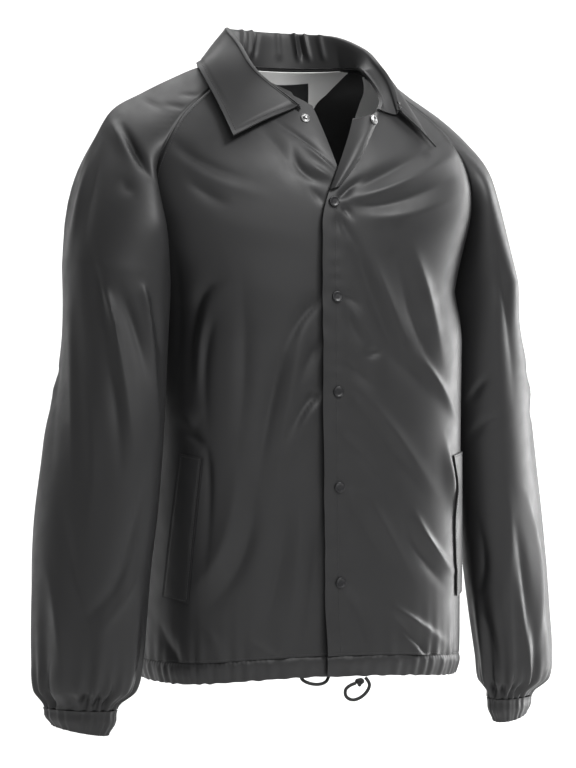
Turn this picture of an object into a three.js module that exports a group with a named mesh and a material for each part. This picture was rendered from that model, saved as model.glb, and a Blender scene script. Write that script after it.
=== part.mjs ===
// A coach's jacket in satin nylon, filled out as if worn, with its top snap open.
// Millimetres, +Z up. The wearer faces -Y, so the wearer's left is +X.
// The origin is the middle of the neck opening, level with the top of the shoulders.
// Each piece of cloth is a wall drawn as a grid of points: rows run down the garment
// and columns run round it. Every row is a smooth curve between two seams.
import * as THREE from "three";
import { mergeVertices } from "three/addons/utils/BufferGeometryUtils.js";

// Driving sizes
const CLOTH_WALL = 1.6;
const SEAM_GAP = 0.3;
const UNDERARM_Z = -268;
const CASING_TOP_Z = -692;
const HEM_Z = -716;
const HEM_SIDE_DROP = 9;
const CASING_WALL = 3;
const CASING_GAP = 0.5;
const RIGHT_CUFF_TOP_Z = -749;
const LEFT_CUFF_TOP_Z = -766;
const CUFF_HEIGHT = 25;
const CUFF_WALL = 2.6;
const SNAP_COUNT = 5;
const SNAP_PITCH = 110;
const SNAP_TOP_Z = -168;
const SNAP_INSET = 15;
const SNAP_DIAMETER = 13;
const CORD_DIAMETER = 4;
const CLEAR_OF_CLOTH = 0.5;

const RIGHT = -1;
const LEFT = 1;

// Cloth colours
const cloth = new THREE.MeshStandardMaterial({ color: 0x2b2b2d, roughness: 0.42, metalness: 0 });
const liningCloth = new THREE.MeshStandardMaterial({ color: 0xd6d6d4, roughness: 0.8, metalness: 0 });
const patchCloth = new THREE.MeshStandardMaterial({ color: 0x141415, roughness: 0.7, metalness: 0 });
const cordCloth = new THREE.MeshStandardMaterial({ color: 0x0e0e0f, roughness: 0.85, metalness: 0 });
const blackMetal = new THREE.MeshStandardMaterial({ color: 0x1a1a1c, roughness: 0.3, metalness: 0.6 });
const brightMetal = new THREE.MeshStandardMaterial({ color: 0xb4b4b6, roughness: 0.25, metalness: 1 });

const jacket = new THREE.Group();

const point = (x, y, z) => new THREE.Vector3(x, y, z);
const clamp = THREE.MathUtils.clamp;
const lerp = THREE.MathUtils.lerp;

function addPiece(name, geometry, material) {
  const mesh = new THREE.Mesh(geometry, material);
  mesh.name = name;
  jacket.add(mesh);
  return mesh;
}

// A table is a list of column names and its rows. The first column is where each row stands,
// and look(table, at) returns every other column there, on a smooth curve through the rows.
function table(columns, rows) {
  return { columns, rows };
}

function look({ columns, rows }, at) {
  const last = rows.length - 1;
  const rising = rows[last][0] > rows[0][0];
  let i = 0;
  while (i < last - 1 && (rising ? at > rows[i + 1][0] : at < rows[i + 1][0])) i += 1;
  const [a, b] = [rows[i], rows[i + 1]];
  const before = rows[Math.max(i - 1, 0)];
  const after = rows[Math.min(i + 2, last)];
  const span = b[0] - a[0];
  const f = clamp((at - a[0]) / span, 0, 1);
  const found = {};
  columns.forEach((name, c) => {
    if (c === 0) return;
    const slopeIn = ((b[c] - before[c]) / (b[0] - before[0])) * span;
    const slopeOut = ((after[c] - a[c]) / (after[0] - a[0])) * span;
    const f2 = f * f;
    const f3 = f2 * f;
    found[name] =
      (2 * f3 - 3 * f2 + 1) * a[c] + (f3 - 2 * f2 + f) * slopeIn + (3 * f2 - 2 * f3) * b[c] + (f3 - f2) * slopeOut;
  });
  return found;
}

const ease = (low, high, x) => THREE.MathUtils.smoothstep(x, low, high);

// Seams. x is the distance out from the middle, mirrored for the wearer's right side.
// t runs down a raglan seam from the neck to the underarm.
const raglanFront = table(
  ["t", "x", "y", "z"],
  [
    [0, 76, -22, -4],
    [0.14, 100, -29, -18],
    [0.27, 124, -34, -35],
    [0.42, 158, -47, -64],
    [0.55, 181, -61, -96],
    [0.68, 196, -63, -130],
    [0.8, 201, -60, -169],
    [0.9, 198, -46, -212],
    [1, 190, -12, UNDERARM_Z],
  ],
);
const raglanBack = table(
  ["t", "x", "y", "z"],
  [
    [0, 70, 38, 6],
    [0.14, 100, 43, 2],
    [0.27, 132, 52, -16],
    [0.42, 164, 62, -50],
    [0.55, 184, 70, -88],
    [0.68, 193, 72, -130],
    [0.8, 196, 68, -172],
    [0.9, 195, 48, -216],
    [1, 190, -12, UNDERARM_Z],
  ],
);

// The front edges. The right front lies under the left one, and above the second snap both
// fall open: the left one turns back along its roll line.
const rightFrontEdge = table(
  ["t", "x", "y", "z"],
  [
    [0, -8, -75, -53],
    [0.14, -2, -91, -80],
    [0.27, 4, -104, -106],
    [0.42, 10, -113, -131],
    [0.55, 14, -119, -157],
    [0.68, 16, -123, -184],
    [0.8, 17, -125.5, -212],
    [0.9, 18, -127, -240],
    [1, 18, -128, UNDERARM_Z],
  ],
);
const leftFrontEdge = table(
  ["t", "x", "y", "z"],
  [
    [0, 38, -86, -67],
    [0.14, 27, -99, -91],
    [0.27, 15, -110, -115],
    [0.42, 3, -119, -138],
    [0.55, -9, -126, -163],
    [0.68, -16, -129.5, -188],
    [0.8, -17, -131.5, -214],
    [0.9, -18, -133, -240],
    [1, -18, -134, UNDERARM_Z],
  ],
);
const backMiddle = table(
  ["t", "y", "z"],
  [
    [0, 72, 7],
    [0.14, 90, -14],
    [0.27, 106, -44],
    [0.42, 121, -82],
    [0.55, 132, -119],
    [0.68, 140, -155],
    [0.8, 145, -190],
    [0.9, 148, -228],
    [1, 150, UNDERARM_Z],
  ],
);

// How far each chest row leaves its two ends before it turns. At the front edge it runs
// straight out by edge and up by edgeRise. At the seam it comes in by seamIn, forward (or
// back) by seamOn and down by seamDrop.
const rightChestTurns = table(
  ["t", "edge", "edgeRise", "seamIn", "seamOn", "seamDrop"],
  [
    [0, 26, 15, -3, 22, 15],
    [0.14, 33, 18, 24, 28, 20],
    [0.27, 42, 21, 35, 35, 23],
    [0.42, 55, 20, 39, 39, 22],
    [0.55, 70, 18, 36, 38, 20],
    [0.68, 91, 16, 30, 39, 16],
    [0.8, 110, 13, 30, 40, 13],
    [0.9, 122, 8, 34, 46, 8],
    [1, 138, 0, 28, 78, 0],
  ],
);
const leftChestTurns = table(
  ["t", "edge", "edgeRise", "seamIn", "seamOn", "seamDrop"],
  [
    [0, 46, 6, -18, 30, 36],
    [0.14, 38, 14, 4, 30, 30],
    [0.27, 43, 21, 27, 38, 27],
    [0.42, 55, 20, 36, 40, 24],
    [0.55, 70, 18, 33, 41, 21],
    [0.68, 91, 16, 15, 45, 17],
    [0.8, 110, 13, 2, 48, 13],
    [0.9, 122, 8, -1, 62, 8],
    [1, 138, 0, -8, 104, 0],
  ],
);
const backTurns = table(
  ["t", "edge", "seamIn", "seamOn"],
  [
    [0, 36, 16, 14],
    [0.14, 50, 22, 22],
    [0.27, 66, 26, 32],
    [0.42, 84, 24, 38],
    [0.55, 98, 14, 42],
    [0.68, 108, 6, 44],
    [0.8, 116, 0, 50],
    [0.9, 122, 2, 66],
    [1, 126, 4, 116],
  ],
);

// The body below the underarms: the depth of its front and back, the half width at each
// side seam, and how far each row runs straight before it turns. frontRun and rightIn shape
// the right front, leftRun and leftIn the left one, which swells out past its side seam.
const body = table(
  [
    "z", "front", "back", "rightSide", "leftSide", "seamY",
    "edgeRun", "frontRun", "backRun", "rightIn", "lap", "leftRun", "leftIn",
  ],
  [
    [UNDERARM_Z, -128, 150, 190, 190, -12, 138, 78, 116, 28, 18, 104, -8],
    [-300, -129, 150, 184, 187, -4, 140, 86, 112, 24, 18, 100, -28],
    [-400, -130, 149, 185, 193, 0, 142, 100, 108, 10, 18, 104, -14],
    [-520, -131, 147, 189, 197, 0, 144, 104, 106, 4, 17, 104, -2],
    [-640, -132, 145, 193, 199, 0, 144, 104, 104, 4, 16, 104, 4],
    [CASING_TOP_Z, -133, 143, 193, 198, 0, 142, 102, 104, 4, 14, 102, 4],
    [HEM_Z, -130, 140, 189, 194, 0, 138, 98, 100, 4, 13, 98, 4],
  ],
);
const LAP_DEPTH = 6;

// The top of each shoulder and the outer line of each arm, down to the underarm row.
const rightShoulder = table(
  ["t", "x", "y", "z"],
  [
    [0, 80, 6, 4],
    [0.14, 118, 10, -2],
    [0.27, 152, 12, -16],
    [0.42, 192, 8, -36],
    [0.55, 229, 2, -57],
    [0.68, 252, -8, -90],
    [0.8, 274, -20, -132],
    [0.9, 287, -31, -178],
    [1, 297, -42, -236],
  ],
);
const leftShoulder = table(
  ["t", "x", "y", "z"],
  [
    [0, 80, 6, 3],
    [0.14, 118, 10, -8],
    [0.27, 152, 12, -30],
    [0.42, 190, 11, -54],
    [0.55, 218, 10, -79],
    [0.68, 240, 8, -109],
    [0.8, 253, 5, -148],
    [0.9, 264, 3, -192],
    [1, 278, 2, -250],
  ],
);
// How the cap rows leave the front seam, the shoulder line and the back seam.
const capTurns = table(
  ["t", "rightOut", "leftOut", "rightOn", "leftOn", "topFront", "topBack", "backOut", "backOn"],
  [
    [0, 1, 1, -9, -9, 9, 12, 5, -12],
    [0.14, 8, 8, -10, -10, 8, 12, 8, -9],
    [0.27, 11, 11, -12, -12, 10, 16, 9, -8],
    [0.42, 16, 16, -12, -12, 14, 26, 17, -8],
    [0.55, 18, 22, -2, -6, 24, 38, 26, 0],
    [0.68, 0, 26, 30, 16, 40, 50, 30, 10],
    [0.8, -24, 16, 64, 48, 58, 62, 26, 24],
    [0.9, -38, 10, 98, 72, 78, 80, 18, 50],
    [1, -46, 6, 116, 98, 97, 97, 6, 96],
  ],
);

// Arms below the underarm, keyed from the underarm (0) to the cuff (1): centre, half sizes of
// the flattened tube, and the turn of its long side away from straight ahead. The right arm
// hangs further forward, the left one a little lower.
const arm = table(
  ["f", "rightX", "leftX", "rightY", "leftY", "long", "short", "turn"],
  [
    [0.05, 243, 241, -40, 8, 75, 48, 8],
    [0.27, 252, 256, -54, 15, 77, 51, 28],
    [0.52, 265, 274, -60, 20, 76, 50, 40],
    [0.68, 273, 283, -62, 20, 72, 48, 45],
    [0.79, 276, 288, -62, 20, 71, 48, 45],
    [0.89, 278, 293, -62, 20, 69, 48, 45],
    [0.96, 281, 293, -61, 20, 64, 44, 45],
    [1, 286, 289, -60, 20, 46, 25, 45],
    [1.1, 286, 289, -60, 20, 46, 25, 45],
  ],
);
const cuffTopZ = (side) => (side === RIGHT ? RIGHT_CUFF_TOP_Z : LEFT_CUFF_TOP_Z);

// A point on the cubic curve from a to d, pulled towards b and c.
function curve(a, b, c, d, f) {
  const g = 1 - f;
  return point(0, 0, 0)
    .addScaledVector(a, g * g * g)
    .addScaledVector(b, 3 * g * g * f)
    .addScaledVector(c, 3 * g * f * f)
    .addScaledVector(d, f * f * f);
}

function seamPoint(seam, side, t) {
  const { x, y, z } = look(seam, t);
  const share = ease(0.7, 1, t);
  const sway = (side === RIGHT ? -10 : 18) * share;
  return point(side * x, y + sway, z);
}

// Rows are numbered by v: 0 to 1 from the neck to the underarm, then 1 to 2 down to the hem.
const bodyZ = (v) => lerp(UNDERARM_Z, CASING_TOP_Z, v - 1);

function sideSeamPoint(side, z) {
  const at = look(body, z);
  const share = ease(UNDERARM_Z - 60, UNDERARM_Z, z);
  const sway = (side === RIGHT ? -10 : 18) * share;
  return point(side * (side === RIGHT ? at.rightSide : at.leftSide), at.seamY + sway, z);
}

// The hem hangs a little lower at the sides and back than at the middle of the front.
const hemDrop = (v, round) => HEM_SIDE_DROP * ease(1.55, 2.05, v) * ease(0.05, 0.75, round);

// A front row, from its front edge (u = 0) to the side or raglan seam (u = 1).
function frontPoint(side, u, v) {
  let edge;
  let seam;
  let run;
  if (v <= 1) {
    const at = look(side === RIGHT ? rightFrontEdge : leftFrontEdge, v);
    edge = point(at.x, at.y, at.z);
    seam = seamPoint(raglanFront, side, v);
    run = look(side === RIGHT ? rightChestTurns : leftChestTurns, v);
  } else {
    const z = bodyZ(v);
    const at = look(body, z);
    edge = point(-side * at.lap, at.front - (side === LEFT ? LAP_DEPTH : 0), z);
    seam = sideSeamPoint(side, z);
    const seamIn = side === RIGHT ? at.rightIn : at.leftIn;
    const seamOn = side === RIGHT ? at.frontRun : at.leftRun;
    run = { edge: at.edgeRun, edgeRise: 0, seamIn, seamOn, seamDrop: 0 };
  }
  const b = point(edge.x + side * run.edge, edge.y, edge.z + run.edgeRise);
  const c = point(seam.x - side * run.seamIn, seam.y - run.seamOn, seam.z - run.seamDrop);
  const found = curve(edge, b, c, seam, u);
  found.z -= hemDrop(v, u);
  return found;
}

// A back row, from the right seam (u = -1) through the middle (u = 0) to the left seam.
function backPoint(u, v) {
  const side = u < 0 ? RIGHT : LEFT;
  let middle;
  let seam;
  let run;
  if (v <= 1) {
    const at = look(backMiddle, v);
    middle = point(0, at.y, at.z);
    seam = seamPoint(raglanBack, side, v);
    run = look(backTurns, v);
  } else {
    const z = bodyZ(v);
    const at = look(body, z);
    middle = point(0, at.back, z);
    seam = sideSeamPoint(side, z);
    run = { edge: at.edgeRun - 12, seamIn: 4, seamOn: at.backRun };
  }
  const rise = (seam.z - middle.z) * 0.3;
  const b = point(side * run.edge, middle.y, middle.z);
  const c = point(seam.x - side * run.seamIn, seam.y + run.seamOn, seam.z - rise);
  const found = curve(middle, b, c, seam, Math.abs(u));
  found.z -= hemDrop(v, 1);
  return found;
}

// A sleeve row, from the front seam (u = 0) over the outside of the arm (u = 0.5) to the
// back seam (u = 1). v runs 0 to 1 over the cap, then 1 to 2 down the arm to the cuff.
function armSection(side, f, z) {
  const at = look(arm, f);
  const angle = THREE.MathUtils.degToRad(at.turn);
  const centre = side === RIGHT ? point(-at.rightX, at.rightY, z) : point(at.leftX, at.leftY, z);
  const ahead = point(-side * Math.sin(angle), -Math.cos(angle), 0);
  const out = point(side * Math.cos(angle), -Math.sin(angle), 0);
  return { centre, ahead, out, long: at.long, short: at.short };
}

// The share of each arm's length over which the shape of its cap fades out.
const RIGHT_ARM_SETTLES = 0.4;
const LEFT_ARM_SETTLES = 0.2;

function sleeveRow(side, v) {
  if (v <= 1) {
    const front = seamPoint(raglanFront, side, v);
    const back = seamPoint(raglanBack, side, v);
    const at = look(side === RIGHT ? rightShoulder : leftShoulder, v);
    const top = point(side * at.x, at.y, at.z);
    const run = look(capTurns, v);
    const frontOut = side === RIGHT ? run.rightOut : run.leftOut;
    const frontOn = side === RIGHT ? run.rightOn : run.leftOn;
    const dip = (front.z - top.z) * 0.3;
    const dipBack = (back.z - top.z) * 0.3;
    return [
      front,
      point(front.x + side * frontOut, front.y - frontOn, front.z - dip),
      point(top.x, top.y - run.topFront, top.z + dip),
      top,
      point(top.x, top.y + run.topBack, top.z + dipBack),
      point(back.x + side * run.backOut, back.y + run.backOn, back.z - dipBack),
      back,
    ];
  }
  const f = v - 1;
  const top = sleeveRow(side, 1);
  const innerZ = lerp(UNDERARM_Z, cuffTopZ(side), f);
  const outerZ = lerp(top[3].z, cuffTopZ(side), f);
  const { centre, ahead, out, long, short } = armSection(side, f, (innerZ + outerZ) / 2);
  const handle = (4 / 3) * long;
  const inner = centre.clone().addScaledVector(out, -short).setZ(innerZ);
  const outer = centre.clone().addScaledVector(out, short).setZ(outerZ);
  const slope = (outerZ - innerZ) * 0.3;
  const down = point(0, 0, slope);
  const ring = [
    inner,
    inner.clone().addScaledVector(ahead, handle).add(down),
    outer.clone().addScaledVector(ahead, handle).sub(down),
    outer,
    outer.clone().addScaledVector(ahead, -handle).sub(down),
    inner.clone().addScaledVector(ahead, -handle).add(down),
    inner.clone(),
  ];
  const settle = ease(0, side === RIGHT ? RIGHT_ARM_SETTLES : LEFT_ARM_SETTLES, f);
  return ring.map((p, i) => {
    const hung = top[i].clone();
    hung.z = p.z;
    return hung.lerp(p, settle);
  });
}

function sleevePoint(side, u, v) {
  const [a, b, c, d, e, f, g] = sleeveRow(side, v);
  return u <= 0.5 ? curve(a, b, c, d, u * 2) : curve(d, e, f, g, u * 2 - 1);
}

const spread = (from, to, count) => Array.from({ length: count + 1 }, (_, i) => lerp(from, to, i / count));

const capRows = [0, 0.12, 0.24, 0.34, 0.44, 0.53, 0.62, 0.7, 0.78, 0.86, 0.93, 1];
const bodyRows = [...capRows, ...spread(1, 2, 15).slice(1)];
const armRows = [...capRows, 1.05, ...spread(1.11, 1.93, 12), 1.965, 2];

const FRONT_COLUMNS = 14;
const BACK_COLUMNS = 20;
const SLEEVE_COLUMNS = 22;

function grid(us, vs, at) {
  return vs.map((v) => us.map((u) => at(u, v)));
}

const panels = {
  front_right: grid(spread(0, 1, FRONT_COLUMNS), bodyRows, (u, v) => frontPoint(RIGHT, u, v)),
  front_left: grid(spread(0, 1, FRONT_COLUMNS), bodyRows, (u, v) => frontPoint(LEFT, u, v)),
  back: grid(spread(-1, 1, BACK_COLUMNS), bodyRows, (u, v) => backPoint(u, v)),
  sleeve_right: grid(spread(0, 1, SLEEVE_COLUMNS), armRows, (u, v) => sleevePoint(RIGHT, u, v)),
  sleeve_left: grid(spread(0, 1, SLEEVE_COLUMNS), armRows, (u, v) => sleevePoint(LEFT, u, v)),
};

// Which way each grid faces: +1 where a step along a row, crossed with a step down the
// rows, points out of the garment.
const facing = {
  front_right: -1,
  front_left: 1,
  back: -1,
  sleeve_right: -1,
  sleeve_left: 1,
};

// Normals are summed over every panel that has a point at the same place, so two walls
// that meet at a seam are cut along the same plane.
const key = (p) => [p.x, p.y, p.z].map((n) => Math.round(n * 20)).join();

function sharedNormals(grids, faces) {
  const sums = new Map();
  const own = {};
  for (const [name, rows] of Object.entries(grids)) {
    own[name] = rows.map((row, r) =>
      row.map((p, c) => {
        const across = row[Math.min(c + 1, row.length - 1)].clone().sub(row[Math.max(c - 1, 0)]);
        const down = rows[Math.min(r + 1, rows.length - 1)][c].clone().sub(rows[Math.max(r - 1, 0)][c]);
        const n = across.cross(down).multiplyScalar(-faces[name]).normalize();
        const k = key(p);
        if (!sums.has(k)) sums.set(k, point(0, 0, 0));
        sums.get(k).add(n);
        return k;
      }),
    );
  }
  const result = {};
  for (const [name, keys] of Object.entries(own)) {
    result[name] = keys.map((row) => row.map((k) => sums.get(k).clone().normalize()));
  }
  return result;
}

// A closed wall between an outer grid and an inner grid of the same size.
function wall(outer, inner, flip) {
  const rows = outer.length;
  const columns = outer[0].length;
  const positions = [...outer.flat(), ...inner.flat()].flatMap((p) => [p.x, p.y, p.z]);
  const at = (layer, r, c) => layer * rows * columns + r * columns + c;
  const faces = [];
  const quad = (a, b, c, d) => {
    if (flip) faces.push(a, c, b, a, d, c);
    else faces.push(a, b, c, a, c, d);
  };
  for (let r = 0; r < rows - 1; r += 1) {
    for (let c = 0; c < columns - 1; c += 1) {
      quad(at(0, r, c), at(0, r + 1, c), at(0, r + 1, c + 1), at(0, r, c + 1));
      quad(at(1, r, c), at(1, r, c + 1), at(1, r + 1, c + 1), at(1, r + 1, c));
    }
  }
  for (let r = 0; r < rows - 1; r += 1) {
    quad(at(0, r, 0), at(1, r, 0), at(1, r + 1, 0), at(0, r + 1, 0));
    const e = columns - 1;
    quad(at(0, r, e), at(0, r + 1, e), at(1, r + 1, e), at(1, r, e));
  }
  for (let c = 0; c < columns - 1; c += 1) {
    quad(at(0, 0, c), at(0, 0, c + 1), at(1, 0, c + 1), at(1, 0, c));
    const e = rows - 1;
    quad(at(0, e, c), at(1, e, c), at(1, e, c + 1), at(0, e, c + 1));
  }
  const geometry = new THREE.BufferGeometry();
  geometry.setAttribute("position", new THREE.Float32BufferAttribute(positions, 3));
  geometry.setIndex(faces);
  return geometry;
}

// Pulls the rim of a grid in by half the seam gap, so neighbours stay apart.
function trimRim(rows) {
  const half = SEAM_GAP / 2;
  const pull = (from, to) => from.add(to.clone().sub(from).setLength(half));
  const last = rows.length - 1;
  const end = rows[0].length - 1;
  rows.forEach((row) => {
    pull(row[0], row[1]);
    pull(row[end], row[end - 1]);
  });
  rows[0].forEach((p, c) => pull(p, rows[1][c]));
  rows[last].forEach((p, c) => pull(p, rows[last - 1][c]));
}

const copyGrid = (rows) => rows.map((row) => row.map((p) => p.clone()));
const offsetGrid = (rows, normals, distance) =>
  rows.map((row, r) => row.map((p, c) => p.clone().addScaledVector(normals[r][c], distance)));

// The largest folds. Each is a straight soft ridge (depth over 0) or trough (under 0) laid
// in the cloth between two places, and dies away at its ends and at its width.
const foldColumns = ["x1", "y1", "z1", "x2", "y2", "z2", "width", "depth"];
const folds = {
  front_right: [
    [-20, -130, -283, -55, -130, -397, 24, -5],
    [-55, -130, -397, -96, -125, -535, 28, -7],
    [-96, -125, -535, -132, -118, -660, 26, -6],
    [-13, -130, -386, -44, -130, -443, 22, 5],
    [-44, -130, -443, -84, -126, -590, 26, 5],
    [-118, -120, -560, -142, -112, -680, 20, -8],
    [-158, -70, -60, -112, -95, -104, 22, -5],
    [-112, -95, -104, -40, -115, -148, 22, -6],
    [-62, -95, -76, -4, -112, -127, 17, 6],
    [-50, -105, -112, -16, -118, -153, 17, -5],
    [-150, -90, -300, -128, -115, -420, 26, 4],
  ],
  front_left: [
    [22, -128, -172, 70, -124, -165, 20, -5],
    [70, -124, -165, 150, -95, -132, 24, -5],
    [14, -130, -208, 34, -132, -270, 18, -5],
    [34, -132, -270, 74, -128, -352, 24, -5],
    [91, -122, -200, 132, -112, -340, 26, 5],
    [80, -128, -625, 130, -115, -672, 22, 6],
    [103, -122, -665, 152, -105, -698, 20, 5],
    [132, -115, -478, 152, -100, -585, 24, 6],
    [60, -130, -430, 104, -124, -560, 28, -4],
  ],
  back: [
    [-126, 112, -140, -66, 146, -330, 30, -5],
    [118, 116, -150, 74, 146, -390, 32, -5],
    [-150, 100, -400, -46, 146, -560, 30, 5],
    [140, 108, -430, 54, 144, -610, 28, 5],
    [-30, 148, -300, 20, 148, -470, 34, -4],
    [96, 128, -560, 150, 100, -670, 24, -6],
    [-110, 122, -560, -160, 90, -676, 24, -6],
  ],
  sleeve_right: [
    [-244, -20, -84, -240, -75, -124, 18, 6],
    [-240, -75, -124, -205, -90, -200, 18, 7],
    [-228, -48, -98, -212, -72, -152, 16, -5],
    [-278, -90, -196, -264, -112, -283, 20, -5],
    [-264, -112, -283, -244, -120, -397, 22, -6],
    [-226, -100, -205, -206, -108, -315, 16, -5],
    [-300, -60, -420, -262, -112, -500, 22, 5],
    [-306, -80, -590, -262, -120, -640, 20, -5],
    [-300, 10, -300, -312, -10, -430, 24, -5],
    [-250, 20, -470, -300, -5, -560, 22, -5],
  ],
  sleeve_left: [
    [250, -70, -300, 276, -58, -420, 20, -5],
    [216, -40, -398, 250, -62, -362, 18, -5],
    [300, -30, -470, 270, -52, -560, 22, 5],
    [306, -20, -610, 268, -46, -660, 20, -5],
    [250, 60, -150, 284, 62, -300, 22, -5],
    [300, 55, -420, 262, 75, -540, 22, -5],
  ],
};

// How far the folds of a panel push its cloth out at p, where n is the cloth's normal.
// The distance to a fold is measured along the cloth.
function foldPush(rows, p, n) {
  let push = 0;
  for (const row of rows) {
    const at = Object.fromEntries(foldColumns.map((name, i) => [name, row[i]]));
    const start = point(at.x1, at.y1, at.z1);
    const along = point(at.x2, at.y2, at.z2).sub(start);
    const length = along.length();
    const from = p.clone().sub(start);
    const share = clamp(from.dot(along) / (length * length), -0.15, 1.15);
    const away = from.addScaledVector(along, -share);
    const height = away.dot(n);
    if (Math.abs(height) > 45) continue;
    const reach = away.addScaledVector(n, -height).length() / at.width;
    if (reach >= 1) continue;
    const body = Math.cos((Math.PI / 2) * reach) ** 2;
    const ends = ease(-0.15, 0.15, share) * (1 - ease(0.85, 1.15, share));
    push += at.depth * body * ends;
  }
  return push;
}

// Folds stop short of a panel's own seams, so neighbouring pieces still meet.
const rimShare = (r, c, rows, columns) =>
  Math.min(1, r / 1.5, c / 1.5, (rows - 1 - r) / 1.5, (columns - 1 - c) / 1.5);

// The last sleeve rows are drawn up into small pleats, where the elastic cuff gathers them.
const SLEEVE_PLEAT_DEPTH = 3;
function pleatPush(name, r, c, rowCount) {
  if (!name.startsWith("sleeve")) return 0;
  const fromCuff = rowCount - 1 - r;
  const share = [0.5, 1, 0.8, 0.35][fromCuff] ?? 0;
  return (c % 2 === 0 ? 1 : -1) * SLEEVE_PLEAT_DEPTH * share;
}

const smoothNormals = sharedNormals(panels, facing);
for (const [name, rows] of Object.entries(panels)) {
  rows.forEach((row, r) =>
    row.forEach((p, c) => {
      const n = smoothNormals[name][r][c];
      const push = foldPush(folds[name], p, n) * rimShare(r, c, rows.length, row.length);
      p.addScaledVector(n, push + pleatPush(name, r, c, rows.length));
    }),
  );
}

// At the rims the wall is cut square to the unfolded cloth, so it still meets its neighbours.
const panelNormals = sharedNormals(panels, facing);
for (const [name, rows] of Object.entries(panels)) {
  const [last, end] = [rows.length - 1, rows[0].length - 1];
  panelNormals[name].forEach((row, r) =>
    row.forEach((n, c) => {
      if (r === 0 || c === 0 || r === last || c === end) n.copy(smoothNormals[name][r][c]);
    }),
  );
  const outer = copyGrid(rows);
  const inner = offsetGrid(rows, panelNormals[name], -CLOTH_WALL);
  trimRim(outer);
  trimRim(inner);
  addPiece(name, wall(outer, inner, facing[name] < 0), cloth);
}

// The finished outside of the panels as triangles, to rest other pieces on.
const panelFaces = [];
for (const [name, rows] of Object.entries(panels)) {
  const addFace = (a, b, c) => {
    const corners = facing[name] < 0 ? [a, c, b] : [a, b, c];
    panelFaces.push(new THREE.Triangle(...corners));
  };
  for (let r = 0; r < rows.length - 1; r += 1) {
    for (let c = 0; c < rows[0].length - 1; c += 1) {
      addFace(rows[r][c], rows[r + 1][c], rows[r + 1][c + 1]);
      addFace(rows[r][c], rows[r + 1][c + 1], rows[r][c + 1]);
    }
  }
}

// How far p stands from the panels, how high above them, and their normal there.
function overPanels(p) {
  const best = { away: Infinity, spot: point(0, 0, 0), face: null };
  const spot = point(0, 0, 0);
  for (const face of panelFaces) {
    face.closestPointToPoint(p, spot);
    const away = spot.distanceTo(p);
    if (away < best.away) {
      best.away = away;
      best.face = face;
      best.spot.copy(spot);
    }
  }
  const normal = best.face.getNormal(point(0, 0, 0));
  return { away: best.away, normal, height: p.clone().sub(best.spot).dot(normal) };
}

// Moves p out until it stands at least gap clear of the panels.
function keepClear(p, gap) {
  const { away, normal, height } = overPanels(p);
  return height < 0 || away < gap ? p.addScaledVector(normal, gap - height) : p;
}

// Moves p in until it lies at least depth under the outside of the panels.
function keepInside(p, depth) {
  const { normal, height } = overPanels(p);
  return height > -depth ? p.addScaledVector(normal, -depth - height) : p;
}

// The hem casing: the panels' own rows carried on below the casing stitch, as a thicker
// turned-up band, puckered by the drawstring.
const CASING_V = 2;
const HEM_V = 1 + (UNDERARM_Z - HEM_Z) / (UNDERARM_Z - CASING_TOP_Z);
const CASING_ROWS = [CASING_V, lerp(CASING_V, HEM_V, 0.5), HEM_V];
const CASING_PUFF = [0, 1.2, 0.2];
const PUCKER_DEPTH = 0.9;

const casings = {
  hem_casing_right: [spread(0, 1, 22), (u, v) => frontPoint(RIGHT, u, v), facing.front_right],
  hem_casing_left: [spread(0, 1, 22), (u, v) => frontPoint(LEFT, u, v), facing.front_left],
  hem_casing_back: [spread(-1, 1, 44), (u, v) => backPoint(u, v), facing.back],
};
const casingGrids = {};
const casingFaces = {};
for (const [name, [us, at, face]] of Object.entries(casings)) {
  casingGrids[name] = grid(us, CASING_ROWS, (u, v) => at(u, v).add(point(0, 0, -CASING_GAP)));
  casingFaces[name] = face;
}
const casingNormals = sharedNormals(casingGrids, casingFaces);
for (const [name, rows] of Object.entries(casingGrids)) {
  const normals = casingNormals[name];
  const outer = rows.map((row, r) =>
    row.map((p, c) => {
      const pucker = (c % 2 === 0 ? 1 : -1) * PUCKER_DEPTH * (r === 0 ? 0 : 1);
      return p.clone().addScaledVector(normals[r][c], CASING_PUFF[r] + pucker);
    }),
  );
  const inner = offsetGrid(outer, normals, -CASING_WALL);
  trimRim(outer);
  trimRim(inner);
  addPiece(name, wall(outer, inner, casingFaces[name] < 0), cloth);
}

// A closed band: a wall whose rows run all the way round.
function ringWall(outer, inner, flip) {
  const rows = outer.length;
  const columns = outer[0].length;
  const positions = [...outer.flat(), ...inner.flat()].flatMap((p) => [p.x, p.y, p.z]);
  const at = (layer, r, c) => layer * rows * columns + r * columns + (c % columns);
  const faces = [];
  const quad = (a, b, c, d) => {
    if (flip) faces.push(a, c, b, a, d, c);
    else faces.push(a, b, c, a, c, d);
  };
  for (let c = 0; c < columns; c += 1) {
    for (let r = 0; r < rows - 1; r += 1) {
      quad(at(0, r, c), at(0, r + 1, c), at(0, r + 1, c + 1), at(0, r, c + 1));
      quad(at(1, r, c), at(1, r, c + 1), at(1, r + 1, c + 1), at(1, r + 1, c));
    }
    quad(at(0, 0, c), at(0, 0, c + 1), at(1, 0, c + 1), at(1, 0, c));
    quad(at(0, rows - 1, c), at(1, rows - 1, c), at(1, rows - 1, c + 1), at(0, rows - 1, c + 1));
  }
  const geometry = new THREE.BufferGeometry();
  geometry.setAttribute("position", new THREE.Float32BufferAttribute(positions, 3));
  geometry.setIndex(faces);
  return geometry;
}

// Elastic cuffs: gathered bands that follow the sleeve's last row straight down.
const CUFF_GATHERS = 18;
const CUFF_GATHER_DEPTH = 1;
const CUFF_PROFILE = [0, -2, -11];
const CUFF_SHORT_SHARE = 0.6;
const CUFF_TILT = 5;
const CUFF_GAP = 1;

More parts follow.
